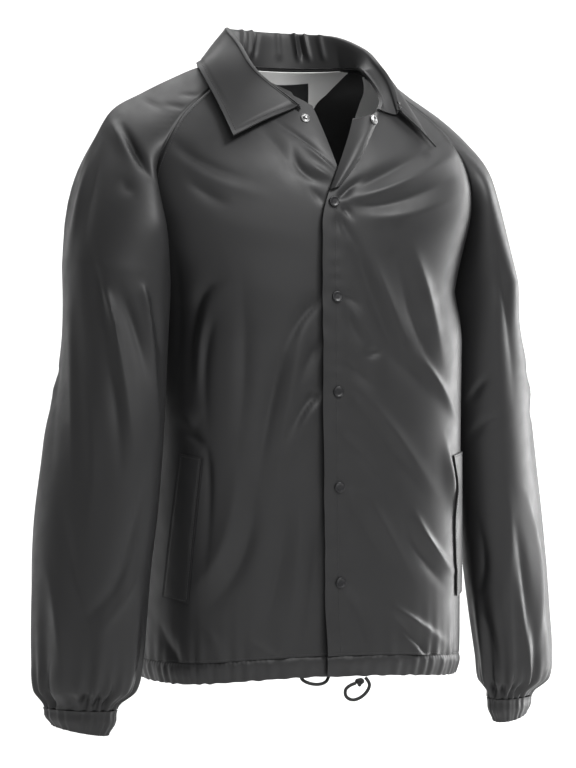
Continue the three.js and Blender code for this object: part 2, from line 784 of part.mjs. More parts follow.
function addCuff(name, side) {
  const { centre, ahead, out, long, short } = armSection(side, 1, cuffTopZ(side));
  const columns = CUFF_GATHERS * 2;
  const rowZ = [CUFF_GAP, CUFF_HEIGHT * 0.5, CUFF_HEIGHT];
  const ringAt = (grow, depth) =>
    rowZ.map((drop, r) =>
      Array.from({ length: columns }, (_, c) => {
        const angle = (c / columns) * 2 * Math.PI * -side;
        const gather = (c % 2 === 0 ? 1 : -1) * depth;
        const reach = grow + CUFF_PROFILE[r] + gather;
        return centre
          .clone()
          .addScaledVector(ahead, (long + reach) * Math.cos(angle))
          .addScaledVector(out, (short + reach * CUFF_SHORT_SHARE) * Math.sin(angle) * -side)
          .setZ(centre.z - drop - (CUFF_TILT * Math.cos(angle) * drop) / CUFF_HEIGHT);
      }),
    );
  const shape = ringWall(ringAt(0, CUFF_GATHER_DEPTH), ringAt(-CUFF_WALL, CUFF_GATHER_DEPTH), side === RIGHT);
  addPiece(name, shape, cloth);
}

addCuff("cuff_right", RIGHT);
addCuff("cuff_left", LEFT);

// The neckline, from the right front (0 to 1) over the right shoulder (2), round the back
// (4) and the left shoulder (5) to the left front (6).
const COLLAR_FROM_RIGHT = 0.3;
const COLLAR_TO_LEFT = 0.35;
function necklinePoint(s) {
  if (s <= 1) return frontPoint(RIGHT, lerp(COLLAR_FROM_RIGHT, 1, s), 0);
  if (s <= 2) return sleevePoint(RIGHT, s - 1, 0);
  if (s <= 4) return backPoint(s - 3, 0);
  if (s <= 5) return sleevePoint(LEFT, 5 - s, 0);
  return frontPoint(LEFT, lerp(1, COLLAR_TO_LEFT, s - 5), 0);
}

// Where the collar folds over and where its free edge lies, along the neckline.
const collarShape = table(
  ["s", "foldX", "foldY", "foldZ", "edgeX", "edgeY", "edgeZ"],
  [
    [0, -30, -85, -53, -115, -101, -93],
    [0.5, -72, -62, -14, -122, -64, -51],
    [1, -83, -26, 23, -131, -20, -6],
    [1.5, -86, 6, 44, -119, 22, 2],
    [2, -70, 44, 49, -98, 70, 2],
    [2.5, -38, 68, 51, -52, 100, -2],
    [3, 0, 76, 51, 0, 110, -2],
    [3.5, 38, 68, 50, 54, 100, -2],
    [4, 69, 44, 45, 98, 70, 0],
    [4.5, 88, 4, 27, 120, 18, -3],
    [5, 94, -26, 6, 116, -36, -27],
    [5.5, 101, -48, -18, 129, -60, -59],
    [6, 103, -72, -54, 144, -87, -97],
  ],
);
const COLLAR_WALL = 2.2;
const COLLAR_ROLL = 4.5;
const COLLAR_COLUMNS = 30;
const COLLAR_LIFT = 1.2;
const COLLAR_INSET = 1.6;

// One row across the collar at s: up the stand, over the roll and down the fall.
function collarRow(s) {
  const at = look(collarShape, s);
  const seam = necklinePoint(s);
  const fold = point(at.foldX, at.foldY, at.foldZ);
  const edge = point(at.edgeX, at.edgeY, at.edgeZ);
  const out = point(edge.x - fold.x, edge.y - fold.y, 0).normalize();
  const start = seam.clone().addScaledVector(out, -COLLAR_INSET).add(point(0, 0, COLLAR_LIFT));
  const low = fold.clone().addScaledVector(out, -COLLAR_ROLL).add(point(0, 0, -COLLAR_ROLL));
  const over = fold.clone().addScaledVector(out, COLLAR_ROLL).add(point(0, 0, -COLLAR_ROLL * 0.8));
  return [
    start,
    start.clone().lerp(low, 0.5),
    low,
    fold.clone().addScaledVector(out, -COLLAR_ROLL * 0.5),
    fold.clone().addScaledVector(out, COLLAR_ROLL * 0.5),
    over,
    over.clone().lerp(edge, 0.5).add(point(0, 0, 1.5)),
    edge,
  ];
}

const collarRows = spread(0, 6, COLLAR_COLUMNS).map(collarRow);
const COLLAR_CLEAR = 0.7;
const collarClear = COLLAR_CLEAR + COLLAR_WALL + SEAM_GAP;
collarRows.forEach((row) => row.slice(1).forEach((p) => keepClear(p, collarClear)));
const collarNormals = sharedNormals({ collar: collarRows }, { collar: 1 }).collar;
const collarUnder = offsetGrid(collarRows, collarNormals, -COLLAR_WALL);
collarUnder.flat().forEach((p) => keepClear(p, COLLAR_CLEAR));
addPiece("collar", wall(collarRows, collarUnder, false), cloth);

function frontNormal(side, u, v) {
  const step = 0.01;
  const across = frontPoint(side, u + step, v).sub(frontPoint(side, u, v));
  const down = frontPoint(side, u, v + step).sub(frontPoint(side, u, v));
  return across.cross(down).multiplyScalar(-side).normalize();
}

// The top of the left front is turned back on itself, so a strip of its facing shows. reach
// is how far round the front row its free edge lies.
const TURNED_WALL = 2.4;
const TURNED_LIFT = 3.5;
const TURNED_COLUMNS = 4;
const turnedStrip = table(
  ["v", "reach"],
  [
    [0.02, 0.32],
    [0.1, 0.38],
    [0.18, 0.41],
    [0.26, 0.31],
    [0.36, 0.2],
    [0.44, 0.12],
    [0.51, 0.06],
  ],
);
function turnedGrid(height) {
  return turnedStrip.rows.map(([v, reach]) =>
    spread(0, reach, TURNED_COLUMNS).map((u, c) => {
      const lift = TURNED_LIFT * Math.sin((Math.PI * c) / TURNED_COLUMNS);
      const p = frontPoint(LEFT, u, v).addScaledVector(frontNormal(LEFT, u, v), lift + height);
      return keepClear(p, height);
    }),
  );
}
const TURNED_CLEAR = 0.8;
const turnedTop = turnedGrid(TURNED_CLEAR + TURNED_WALL);
addPiece("facing_left", wall(turnedTop, turnedGrid(TURNED_CLEAR), false), cloth);

// Pocket welts: a strip laid on each front over its slanted pocket mouth. near is its edge
// towards the middle of the front and far its edge towards the side seam.
const WELT_WALL = 1.6;
const weltShape = table(
  ["row", "near", "far", "nearV", "farV"],
  [
    [0, 0.571, 0.716, 1.462, 1.452],
    [1, 0.632, 0.807, 1.844, 1.831],
  ],
);
function addWelt(name, side) {
  const layer = (height) =>
    spread(0, 1, 8).map((row) => {
      const at = look(weltShape, row);
      return spread(0, 1, 4).map((f) => {
        const [u, v] = [lerp(at.near, at.far, f), lerp(at.nearV, at.farV, f)];
        const p = frontPoint(side, u, v).addScaledVector(frontNormal(side, u, v), height);
        return keepClear(p, height);
      });
    });
  const lift = CLEAR_OF_CLOTH * 2;
  addPiece(name, wall(layer(lift + WELT_WALL), layer(lift), side === RIGHT), cloth);
}
addWelt("welt_right", RIGHT);
addWelt("welt_left", LEFT);

// What shows of the pale lining, hung inside the back. Each piece is a strip between two
// edges, given as places on the back row at a number of heights.
const LINING_WALL = 1;
const PATCH_WALL = 0.8;
const PATCH_LIFT = 1.1;
function backNormal(u, v) {
  const step = 0.01;
  const across = backPoint(u + step, v).sub(backPoint(u - step, v));
  const down = backPoint(u, v + step).sub(backPoint(u, v));
  return across.cross(down).normalize();
}
function insideBack(u, v, depth) {
  return keepInside(backPoint(u, v).addScaledVector(backNormal(u, v), -depth), depth);
}
function addInside(name, depth, thickness, columns, rows, place, material) {
  const layer = (d) => spread(0, 1, rows).map((b) => spread(0, 1, columns).map((a) => insideBack(...place(a, b), d)));
  addPiece(name, wall(layer(depth), layer(depth + thickness), true), material);
}

// The back lining runs down from the neck seam. Its lower edge rises to the left shoulder.
const liningHem = table(
  ["u", "v"],
  [
    [-0.8, 0.34],
    [0.28, 0.36],
    [0.34, 0.26],
    [0.5, 0.2],
    [0.75, 0.13],
    [0.95, 0.07],
  ],
);
const LINING_TOP_V = 0.015;
const liningDepth = CLOTH_WALL + CLEAR_OF_CLOTH;
addInside(
  "lining_back",
  liningDepth,
  LINING_WALL,
  16,
  4,
  (a, b) => {
    const u = lerp(-0.8, 0.95, a);
    return [u, lerp(LINING_TOP_V, look(liningHem, u).v, b)];
  },
  liningCloth,
);

// A second piece shows beside the left neck seam.
const liningSide = table(
  ["v", "u"],
  [
    [0.16, 0.97],
    [0.25, 0.82],
    [0.3, 0.71],
    [0.37, 0.6],
    [0.46, 0.62],
  ],
);
addInside(
  "lining_left",
  liningDepth,
  LINING_WALL,
  4,
  6,
  (a, b) => {
    const v = lerp(0.16, 0.46, b);
    return [lerp(look(liningSide, v).u, 0.985, a), v];
  },
  liningCloth,
);

// The blank neck patch, sewn on the lining.
const patchHalf = table(
  ["b", "u"],
  [
    [0, 0.36],
    [1, 0.25],
  ],
);
addInside(
  "neck_patch",
  liningDepth + LINING_WALL + PATCH_LIFT,
  PATCH_WALL,
  6,
  3,
  (a, b) => {
    const half = look(patchHalf, b).u;
    return [lerp(-half, half, a), lerp(0.11, 0.34, b)];
  },
  patchCloth,
);

// Places on the right or left front at a given distance out from the middle and height.
function frontAt(side, x, z) {
  let v = z > UNDERARM_Z ? 0.5 : 1.5;
  let u = 0.3;
  for (let i = 0; i < 12; i += 1) {
    const p = frontPoint(side, u, v);
    const step = 0.01;
    const du = frontPoint(side, u + step, v).sub(p).divideScalar(step);
    const dv = frontPoint(side, u, v + step).sub(p).divideScalar(step);
    const [missX, missZ] = [x - p.x, z - p.z];
    const scale = du.x * dv.z - du.z * dv.x;
    u += (missX * dv.z - missZ * dv.x) / scale;
    v += (du.x * missZ - du.z * missX) / scale;
    u = clamp(u, 0, 1);
    v = clamp(v, 0, HEM_V);
  }
  return { u, v };
}

// A small turned piece, standing off the cloth along its normal.
const SMALL_SIDES = 10;
function addTurned(name, profile, place, normal, material) {
  const shape = new THREE.LatheGeometry(
    profile.map(([radius, height]) => new THREE.Vector2(radius, height)),
    SMALL_SIDES,
  );
  const merged = mergeVertices(shape.deleteAttribute("normal").deleteAttribute("uv"), 1e-4);
  const mesh = addPiece(name, merged, material);
  mesh.position.copy(place);
  mesh.quaternion.setFromUnitVectors(point(0, 1, 0), normal);
}

// Snap caps down the left front, over the closed snaps.
const SNAP_HEIGHT = 2.6;
const SNAP_X = -1;
const SNAP_DRIFT = 1;
const capProfile = [
  [0, 0],
  [SNAP_DIAMETER * 0.42, 0],
  [SNAP_DIAMETER * 0.5, 0.5],
  [SNAP_DIAMETER * 0.5, 1.2],
  [SNAP_DIAMETER * 0.36, 2.2],
  [0, SNAP_HEIGHT],
];
for (let i = 0; i < SNAP_COUNT; i += 1) {
  const { u, v } = frontAt(LEFT, SNAP_X + SNAP_DRIFT * i, SNAP_TOP_Z - i * SNAP_PITCH);
  const normal = frontNormal(LEFT, u, v);
  const place = frontPoint(LEFT, u, v).addScaledVector(normal, CLEAR_OF_CLOTH);
  addTurned(`snap_cap_${i + 1}`, capProfile, keepClear(place, CLEAR_OF_CLOTH), normal, blackMetal);
}

// The open top snap: its stud on the right front, its socket on the turned-back facing.
// Profiles are rows of radius and height.
const studProfile = [
  [0, 0],
  [5.6, 0],
  [5.6, 1],
  [2.6, 1.2],
  [2.2, 3.4],
  [0, 3.6],
];
const SMALL_LIFT = 0.45;
const SOCKET_LIFT = 1.1;
const STUD_X = -22;
const STUD_Z = -69;
const stud = frontAt(RIGHT, STUD_X, STUD_Z);
const studNormal = frontNormal(RIGHT, stud.u, stud.v);
const studPlace = frontPoint(RIGHT, stud.u, stud.v).addScaledVector(studNormal, SMALL_LIFT);
addTurned("snap_stud", studProfile, studPlace, studNormal, brightMetal);

const socketProfile = [
  [0, 0],
  [6, 0],
  [6, 1.2],
  [4.6, 2],
  [3.4, 1.9],
  [2.6, 0.9],
  [0, 0.9],
];
const SOCKET_ROW = 1;
const [socketIn, socketOut] = [turnedTop[SOCKET_ROW][3], turnedTop[SOCKET_ROW][4]];
const socketDown = turnedTop[SOCKET_ROW + 1][3].clone().sub(socketIn);
const socketNormal = socketOut.clone().sub(socketIn).cross(socketDown).negate().normalize();
const socketPlace = socketIn.clone().addScaledVector(socketNormal, SOCKET_LIFT);
addTurned("snap_socket", socketProfile, socketPlace, socketNormal, brightMetal);

// The drawstring ends, hanging as limp loops below the hem.
const CORD_SIDES = 8;
function addCord(name, places, steps) {
  const path = new THREE.CatmullRomCurve3(places.map(([x, y, z]) => point(x, y, z)));
  const round = new THREE.Shape();
  round.absarc(0, 0, CORD_DIAMETER / 2, 0, 2 * Math.PI);
  const options = { steps, curveSegments: CORD_SIDES, bevelEnabled: false, extrudePath: path };
  const shape = new THREE.ExtrudeGeometry(round, options);
  addPiece(name, shape.deleteAttribute("normal").deleteAttribute("uv"), cordCloth);
}
// Each row of a cord is x, y, z.
const cordRight = [
  [-41, -121.2, -703],
  [-41, -121.2, -712],
  [-38, -122.8, -720],
  [-30, -127, -724],
  [-20, -128, -725],
  [-11, -126.5, -722.5],
  [-6, -122.5, -716],
  [-5, -121, -706],
];
const cordLeft = [
  [35, -134.5, -718.5],
  [39.5, -135.5, -726],
  [36.5, -136.5, -734],
  [28, -137, -741],
  [18, -137.5, -743.5],
  [10, -137.5, -739.5],
  [9, -137.5, -731.5],
  [15, -137.5, -726.5],
  [21.4, -137.5, -724.4],
];
addCord("cord_right", cordRight, 12);
addCord("cord_left", cordLeft, 18);

// The knot that closes the left loop under the hem.
const KNOT_RADIUS = 4.6;
const KNOT_PLACE = point(26.5, -137.5, -723);
const knotBall = new THREE.IcosahedronGeometry(KNOT_RADIUS, 1).deleteAttribute("normal").deleteAttribute("uv");
const knot = addPiece("cord_knot", mergeVertices(knotBall, 1e-4), cordCloth);
knot.position.copy(KNOT_PLACE);

export default jacket;
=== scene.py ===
# %% [markdown]
# # A coach's jacket in black satin nylon
#
# The jacket is filled out as if worn, with nobody in it. Its solids come in already packed,
# and this lesson dresses each one in cloth: fine thin shells that follow the same seams,
# with the creases of a light nylon that is pulled by its snaps and hangs from its shoulders.

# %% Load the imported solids
import math

import bpy
import numpy as np
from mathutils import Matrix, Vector
from mathutils.bvhtree import BVHTree


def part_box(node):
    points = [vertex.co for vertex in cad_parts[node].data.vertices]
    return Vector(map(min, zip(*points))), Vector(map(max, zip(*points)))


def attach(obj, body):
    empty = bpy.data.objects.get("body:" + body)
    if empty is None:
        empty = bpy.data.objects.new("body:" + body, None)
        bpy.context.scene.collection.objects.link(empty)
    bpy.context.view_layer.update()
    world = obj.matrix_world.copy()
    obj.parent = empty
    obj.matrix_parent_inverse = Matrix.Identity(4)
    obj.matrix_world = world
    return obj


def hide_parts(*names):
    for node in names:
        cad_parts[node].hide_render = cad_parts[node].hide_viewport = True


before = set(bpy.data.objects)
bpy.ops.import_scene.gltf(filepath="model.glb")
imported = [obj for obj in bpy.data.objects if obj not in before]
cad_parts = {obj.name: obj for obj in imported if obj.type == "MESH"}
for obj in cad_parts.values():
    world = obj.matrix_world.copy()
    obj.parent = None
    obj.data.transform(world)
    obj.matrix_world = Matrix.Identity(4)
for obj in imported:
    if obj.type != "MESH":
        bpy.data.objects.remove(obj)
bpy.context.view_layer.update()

# %% [markdown]
# ## The camera
#
# The jacket was photographed from its wearer's right side, turned 20 degrees, from level with
# its middle. A long lens from 3.2 metres keeps its lines nearly parallel. One picture unit is
# 1.2 mm at the middle of the body, in a frame 576 by 768 units.

# %% Place the camera
MM = 0.001
AZIMUTH = math.radians(-20)
CAMERA_DISTANCE = 3.2
PICTURE_WIDTH, PICTURE_HEIGHT = 576, 768
UNIT = 1.2 * MM
BODY_ACROSS, BODY_UP = 297, 384
BODY_Z = -0.379

view_right = Vector((math.cos(AZIMUTH), math.sin(AZIMUTH), 0))
view_back = Vector((math.sin(AZIMUTH), -math.cos(AZIMUTH), 0))
middle = Vector((0, 0, BODY_Z)) + view_right * (PICTURE_WIDTH / 2 - BODY_ACROSS) * UNIT

camera_data = bpy.data.cameras.new("camera")
camera_data.sensor_width = 36
camera_data.lens = 36 * CAMERA_DISTANCE / (PICTURE_HEIGHT * UNIT)
camera = bpy.data.objects.new("camera", camera_data)
bpy.context.scene.collection.objects.link(camera)
camera.location = middle + view_back * CAMERA_DISTANCE
camera.rotation_euler = (math.radians(90), 0, AZIMUTH)
bpy.context.scene.camera = camera
print("lens", round(camera_data.lens, 1), "mm")

# %% [markdown]
# ## The drawstring
#
# A drawstring runs inside the hem and hangs out in two loops. A limp cord never bends tighter
# than about two of its own diameters. A curve with a round bevel is the natural tool: it keeps
# its thickness round every bend. Both follow the same points as the solids. The curve is then
# turned into a mesh, because a curve's own box is drawn wider than the cord is.

# %% Smooth lines through points
def line_through(points, count):
    """A smooth line through a list of points, as evenly numbered samples."""
    points = np.array(points, float)
    ends = np.vstack([2 * points[0] - points[1], points, 2 * points[-1] - points[-2]])
    place = np.linspace(0, len(points) - 1, count)
    i = np.minimum(place.astype(int), len(points) - 2)
    f = (place - i)[:, None]
    a, b, c, d = ends[i], ends[i + 1], ends[i + 2], ends[i + 3]
    return 0.5 * (2 * b + (c - a) * f + (2 * a - 5 * b + 4 * c - d) * f**2 + (3 * b - a - 3 * c + d) * f**3)


def link(piece):
    bpy.context.scene.collection.objects.link(piece)
    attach(piece, "root")
    return piece


# %% Make the two cords
CORD_DIAMETER = 4 * MM
CORD_POINTS = 24

cord_right_route = [
    (-41, -121.2, -703),
    (-41, -121.2, -712),
    (-38, -122.8, -720),
    (-30, -127, -724),
    (-20, -128, -725),
    (-11, -126.5, -722.5),
    (-6, -122.5, -716),
    (-5, -121, -706),
]
cord_left_route = [
    (35, -134.5, -718.5),
    (39.5, -135.5, -726),
    (36.5, -136.5, -734),
    (28, -137, -741),
    (18, -137.5, -743.5),
    (10, -137.5, -739.5),
    (9, -137.5, -731.5),
    (15, -137.5, -726.5),
    (21.4, -137.5, -724.4),
]


def round_strand(name, places, radius, closed=False):
    """A mesh tube along some places, made by a curve with a round bevel."""
    curve = bpy.data.curves.new(name, "CURVE")
    curve.dimensions = "3D"
    curve.bevel_depth = radius
    curve.bevel_resolution = 4
    curve.use_fill_caps = not closed
    spline = curve.splines.new("POLY")
    spline.points.add(len(places) - 1)
    spline.use_cyclic_u = closed
    for spot, place in zip(spline.points, places):
        spot.co = (*place, 1)
    drawn = bpy.data.objects.new(name + "_line", curve)
    bpy.context.scene.collection.objects.link(drawn)
    seen = drawn.evaluated_get(bpy.context.evaluated_depsgraph_get())
    mesh = bpy.data.meshes.new_from_object(seen)
    bpy.data.objects.remove(drawn)
    mesh.name = name
    return link(bpy.data.objects.new(name, mesh))


def make_cord(name, route, node):
    places = line_through(route, CORD_POINTS) * MM
    piece = round_strand(name, places, CORD_DIAMETER / 2)
    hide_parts(node)
    length = float(np.linalg.norm(np.diff(places, axis=0), axis=1).sum())
    print(name, "length", round(length * 1000), "mm")
    return piece, places, length


drawstring_right, right_places, right_length = make_cord("drawstring_right", cord_right_route, "cord_right")
drawstring_left, left_places, left_length = make_cord("drawstring_left", cord_left_route, "cord_left")

# %% [markdown]
# ## Seams and tables
#
# A garment is drawn from its seams: the raglan seams from neck to underarm, the front edges,
# the middle of the back, the shoulder line and the arms. Each table below gives a seam as a few
# rows, and every point between is read off a smooth curve. x is the distance out from the
# middle and t runs down from the neck. Sizes are in millimetres.

# %% Read smooth values off a table
def table(names, *rows):
    return names.split(), np.array(rows, float)


def look(found, at):
    names, rows = found
    key = rows[:, 0]
    sign = 1 if key[-1] > key[0] else -1
    at = np.asarray(at, float)
    i = np.searchsorted(sign * key[1:-1], sign * at, side="left")
    a, b = rows[i], rows[i + 1]
    before, after = rows[np.maximum(i - 1, 0)], rows[np.minimum(i + 2, len(rows) - 1)]
    span = (b - a)[..., :1]
    f = np.clip((at - a[..., 0]) / span[..., 0], 0, 1)[..., None]
    slope_in = (b - before) / (b - before)[..., :1] * span
    slope_out = (after - a) / (after - a)[..., :1] * span
    value = (
        (2 * f**3 - 3 * f**2 + 1) * a
        + (f**3 - 2 * f**2 + f) * slope_in
        + (3 * f**2 - 2 * f**3) * b
        + (f**3 - f**2) * slope_out
    )
    return {name: value[..., c] for c, name in enumerate(names) if c}


def ease(low, high, x):
    f = np.clip((np.asarray(x, float) - low) / (high - low), 0, 1)
    return f * f * (3 - 2 * f)


def join(x, y, z):
    return np.stack(np.broadcast_arrays(x, y, z), axis=-1).astype(float)


# %% The seams of this jacket
UNDERARM_Z = -268
CASING_TOP_Z = -692
HEM_Z = -716
HEM_SIDE_DROP = 9
RIGHT, LEFT = -1, 1
CUFF_TOP_Z = {RIGHT: -749, LEFT: -766}

raglan_front = table(
    "t x y z",
    (0, 76, -22, -4),
    (0.14, 100, -29, -18),
    (0.27, 124, -34, -35),
    (0.42, 158, -47, -64),
    (0.55, 181, -61, -96),
    (0.68, 196, -63, -130),
    (0.8, 201, -60, -169),
    (0.9, 198, -46, -212),
    (1, 190, -12, UNDERARM_Z),
)
raglan_back = table(
    "t x y z",
    (0, 70, 38, 6),
    (0.14, 100, 43, 2),
    (0.27, 132, 52, -16),
    (0.42, 164, 62, -50),
    (0.55, 184, 70, -88),
    (0.68, 193, 72, -130),
    (0.8, 196, 68, -172),
    (0.9, 195, 48, -216),
    (1, 190, -12, UNDERARM_Z),
)
front_edges = {
    RIGHT: table(
        "t x y z",
        (0, -8, -75, -53),
        (0.14, -2, -91, -80),
        (0.27, 4, -104, -106),
        (0.42, 10, -113, -131),
        (0.55, 14, -119, -157),
        (0.68, 16, -123, -184),
        (0.8, 17, -125.5, -212),
        (0.9, 18, -127, -240),
        (1, 18, -128, UNDERARM_Z),
    ),
    LEFT: table(
        "t x y z",
        (0, 38, -86, -67),
        (0.14, 27, -99, -91),
        (0.27, 15, -110, -115),
        (0.42, 3, -119, -138),
        (0.55, -9, -126, -163),
        (0.68, -16, -129.5, -188),
        (0.8, -17, -131.5, -214),
        (0.9, -18, -133, -240),
        (1, -18, -134, UNDERARM_Z),
    ),
}
back_middle = table(
    "t y z",
    (0, 72, 7),
    (0.14, 90, -14),
    (0.27, 106, -44),
    (0.42, 121, -82),
    (0.55, 132, -119),
    (0.68, 140, -155),
    (0.8, 145, -190),
    (0.9, 148, -228),
    (1, 150, UNDERARM_Z),
)
shoulders = {
    RIGHT: table(
        "t x y z",
        (0, 80, 6, 4),
        (0.14, 118, 10, -2),
        (0.27, 152, 12, -16),
        (0.42, 192, 8, -36),
        (0.55, 229, 2, -57),
        (0.68, 252, -8, -90),
        (0.8, 274, -20, -132),
        (0.9, 287, -31, -178),
        (1, 297, -42, -236),
    ),
    LEFT: table(
        "t x y z",
        (0, 80, 6, 3),
        (0.14, 118, 10, -8),
        (0.27, 152, 12, -30),
        (0.42, 190, 11, -54),
        (0.55, 218, 10, -79),
        (0.68, 240, 8, -109),
        (0.8, 253, 5, -148),
        (0.9, 264, 3, -192),
        (1, 278, 2, -250),
    ),
}

# %% How the cloth leaves each seam before it turns
chest_turns = {
    RIGHT: table(
        "t edge edge_rise seam_in seam_on seam_drop",
        (0, 26, 15, -3, 22, 15),
        (0.14, 33, 18, 24, 28, 20),
        (0.27, 42, 21, 35, 35, 23),
        (0.42, 55, 20, 39, 39, 22),
        (0.55, 70, 18, 36, 38, 20),
        (0.68, 91, 16, 30, 39, 16),
        (0.8, 110, 13, 30, 40, 13),
        (0.9, 122, 8, 34, 46, 8),
        (1, 138, 0, 28, 78, 0),
    ),
    LEFT: table(
        "t edge edge_rise seam_in seam_on seam_drop",
        (0, 46, 6, -18, 30, 36),
        (0.14, 38, 14, 4, 30, 30),
        (0.27, 43, 21, 27, 38, 27),
        (0.42, 55, 20, 36, 40, 24),
        (0.55, 70, 18, 33, 41, 21),
        (0.68, 91, 16, 15, 45, 17),
        (0.8, 110, 13, 2, 48, 13),
        (0.9, 122, 8, -1, 62, 8),
        (1, 138, 0, -8, 104, 0),
    ),
}
back_turns = table(
    "t edge seam_in seam_on",
    (0, 36, 16, 14),
    (0.14, 50, 22, 22),
    (0.27, 66, 26, 32),
    (0.42, 84, 24, 38),
    (0.55, 98, 14, 42),
    (0.68, 108, 6, 44),
    (0.8, 116, 0, 50),
    (0.9, 122, 2, 66),
    (1, 126, 4, 116),
)
body = table(
    "z front back right_side left_side seam_y edge_run front_run back_run right_in lap left_run left_in",
    (UNDERARM_Z, -128, 150, 190, 190, -12, 138, 78, 116, 28, 18, 104, -8),
    (-300, -129, 150, 184, 187, -4, 140, 86, 112, 24, 18, 100, -28),
    (-400, -130, 149, 185, 193, 0, 142, 100, 108, 10, 18, 104, -14),
    (-520, -131, 147, 189, 197, 0, 144, 104, 106, 4, 17, 104, -2),
    (-640, -132, 145, 193, 199, 0, 144, 104, 104, 4, 16, 104, 4),
    (CASING_TOP_Z, -133, 143, 193, 198, 0, 142, 102, 104, 4, 14, 102, 4),
    (HEM_Z, -130, 140, 189, 194, 0, 138, 98, 100, 4, 13, 98, 4),
)
cap_turns = table(
    "t right_out left_out right_on left_on top_front top_back back_out back_on",
    (0, 1, 1, -9, -9, 9, 12, 5, -12),
    (0.14, 8, 8, -10, -10, 8, 12, 8, -9),
    (0.27, 11, 11, -12, -12, 10, 16, 9, -8),
    (0.42, 16, 16, -12, -12, 14, 26, 17, -8),
    (0.55, 18, 22, -2, -6, 24, 38, 26, 0),
    (0.68, 0, 26, 30, 16, 40, 50, 30, 10),
    (0.8, -24, 16, 64, 48, 58, 62, 26, 24),
    (0.9, -38, 10, 98, 72, 78, 80, 18, 50),
    (1, -46, 6, 116, 98, 97, 97, 6, 96),
)
arm = table(
    "f right_x left_x right_y left_y long short turn",
    (0.05, 243, 241, -40, 8, 75, 48, 8),
    (0.27, 252, 256, -54, 15, 77, 51, 28),
    (0.52, 265, 274, -60, 20, 76, 50, 40),
    (0.68, 273, 283, -62, 20, 72, 48, 45),
    (0.79, 276, 288, -62, 20, 71, 48, 45),
    (0.89, 278, 293, -62, 20, 69, 48, 45),
    (0.96, 281, 293, -61, 20, 64, 44, 45),
    (1, 286, 289, -60, 20, 46, 25, 45),
    (1.1, 286, 289, -60, 20, 46, 25, 45),
)

# %% [markdown]
# ## From seams to cloth
#
# Between two seams the cloth turns on one smooth curve with two handles. v counts down the
# garment: 0 at the neck, 1 at the underarm, 2 at the hem stitch or the cuff. u counts across a
# panel. The functions work on whole arrays, so a panel of thousands of points is quick.

# %% Curves between seams
LAP_DEPTH = 6
ARM_SETTLES = {RIGHT: 0.4, LEFT: 0.2}
UNDERARM_SWAY = {RIGHT: -10, LEFT: 18}


def bend(a, b, c, d, f):
    """Points on the curves from a to d: one curve per row, read at each f of that row."""
    f = f[..., None]
    a, b, c, d = (p[:, None, :] for p in (a, b, c, d))
    g = 1 - f
    return g**3 * a + 3 * g**2 * f * b + 3 * g * f**2 * c + f**3 * d


def across(u, v):
    """u as one row of places for each v."""
    u = np.asarray(u, float)
    return np.broadcast_to(u, (len(v), u.shape[-1])) if u.ndim == 1 else u


def seam_point(seam, side, t):
    at = look(seam, t)
    sway = UNDERARM_SWAY[side] * ease(0.7, 1, t)
    return join(side * at["x"], at["y"] + sway, at["z"])


def body_height(v):
    return UNDERARM_Z + (CASING_TOP_Z - UNDERARM_Z) * (v - 1)


def side_seam_point(side, z):
    at = look(body, z)
    sway = UNDERARM_SWAY[side] * ease(UNDERARM_Z - 60, UNDERARM_Z, z)
    return join(side * at["right_side" if side == RIGHT else "left_side"], at["seam_y"] + sway, z)


def hem_drop(v, round_body):
    return HEM_SIDE_DROP * ease(1.55, 2.05, v) * ease(0.05, 0.75, round_body)


def either(condition, chest, below):
    return np.where(condition[:, None], chest, below)


# %% The fronts, back and sleeves as surfaces
def front_at(side, u, v):
    v = np.asarray(v, float)
    u = across(u, v)
    t = np.minimum(v, 1)
    z = body_height(np.maximum(v, 1))
    edge_at, turn, at = look(front_edges[side], t), look(chest_turns[side], t), look(body, z)
    chest = v <= 1
    lapped = at["front"] - (LAP_DEPTH if side == LEFT else 0)
    edge = either(chest, join(edge_at["x"], edge_at["y"], edge_at["z"]), join(-side * at["lap"], lapped, z))
    seam = either(chest, seam_point(raglan_front, side, t), side_seam_point(side, z))
    seam_in = np.where(chest, turn["seam_in"], at["right_in" if side == RIGHT else "left_in"])
    seam_on = np.where(chest, turn["seam_on"], at["front_run" if side == RIGHT else "left_run"])
    seam_drop = np.where(chest, turn["seam_drop"], 0)
    run, rise = np.where(chest, turn["edge"], at["edge_run"]), np.where(chest, turn["edge_rise"], 0)
    b = edge + join(side * run, 0, rise)
    c = seam - join(side * seam_in, seam_on, seam_drop)
    found = bend(edge, b, c, seam, u)
    found[..., 2] -= hem_drop(v[:, None], u)
    return found


def back_at(u, v):
    v = np.asarray(v, float)
    u = across(u, v)
    t = np.minimum(v, 1)
    z = body_height(np.maximum(v, 1))
    middle_at, turn, at = look(back_middle, t), look(back_turns, t), look(body, z)
    chest = v <= 1
    spine = either(chest, join(0, middle_at["y"], middle_at["z"]), join(0, at["back"], z))
    halves = []
    for side in (RIGHT, LEFT):
        seam = either(chest, seam_point(raglan_back, side, t), side_seam_point(side, z))
        run = np.where(chest, turn["edge"], at["edge_run"] - 12)
        seam_in = np.where(chest, turn["seam_in"], 4)
        seam_on = np.where(chest, turn["seam_on"], at["back_run"])
        rise = (seam[:, 2] - spine[:, 2]) * 0.3
        b = spine + join(side * run, 0, 0)
        c = seam - join(side * seam_in, -seam_on, rise)
        halves.append(bend(spine, b, c, seam, np.abs(u)))
    found = np.where(u[..., None] < 0, halves[0], halves[1])
    found[..., 2] -= hem_drop(v[:, None], 1)
    return found


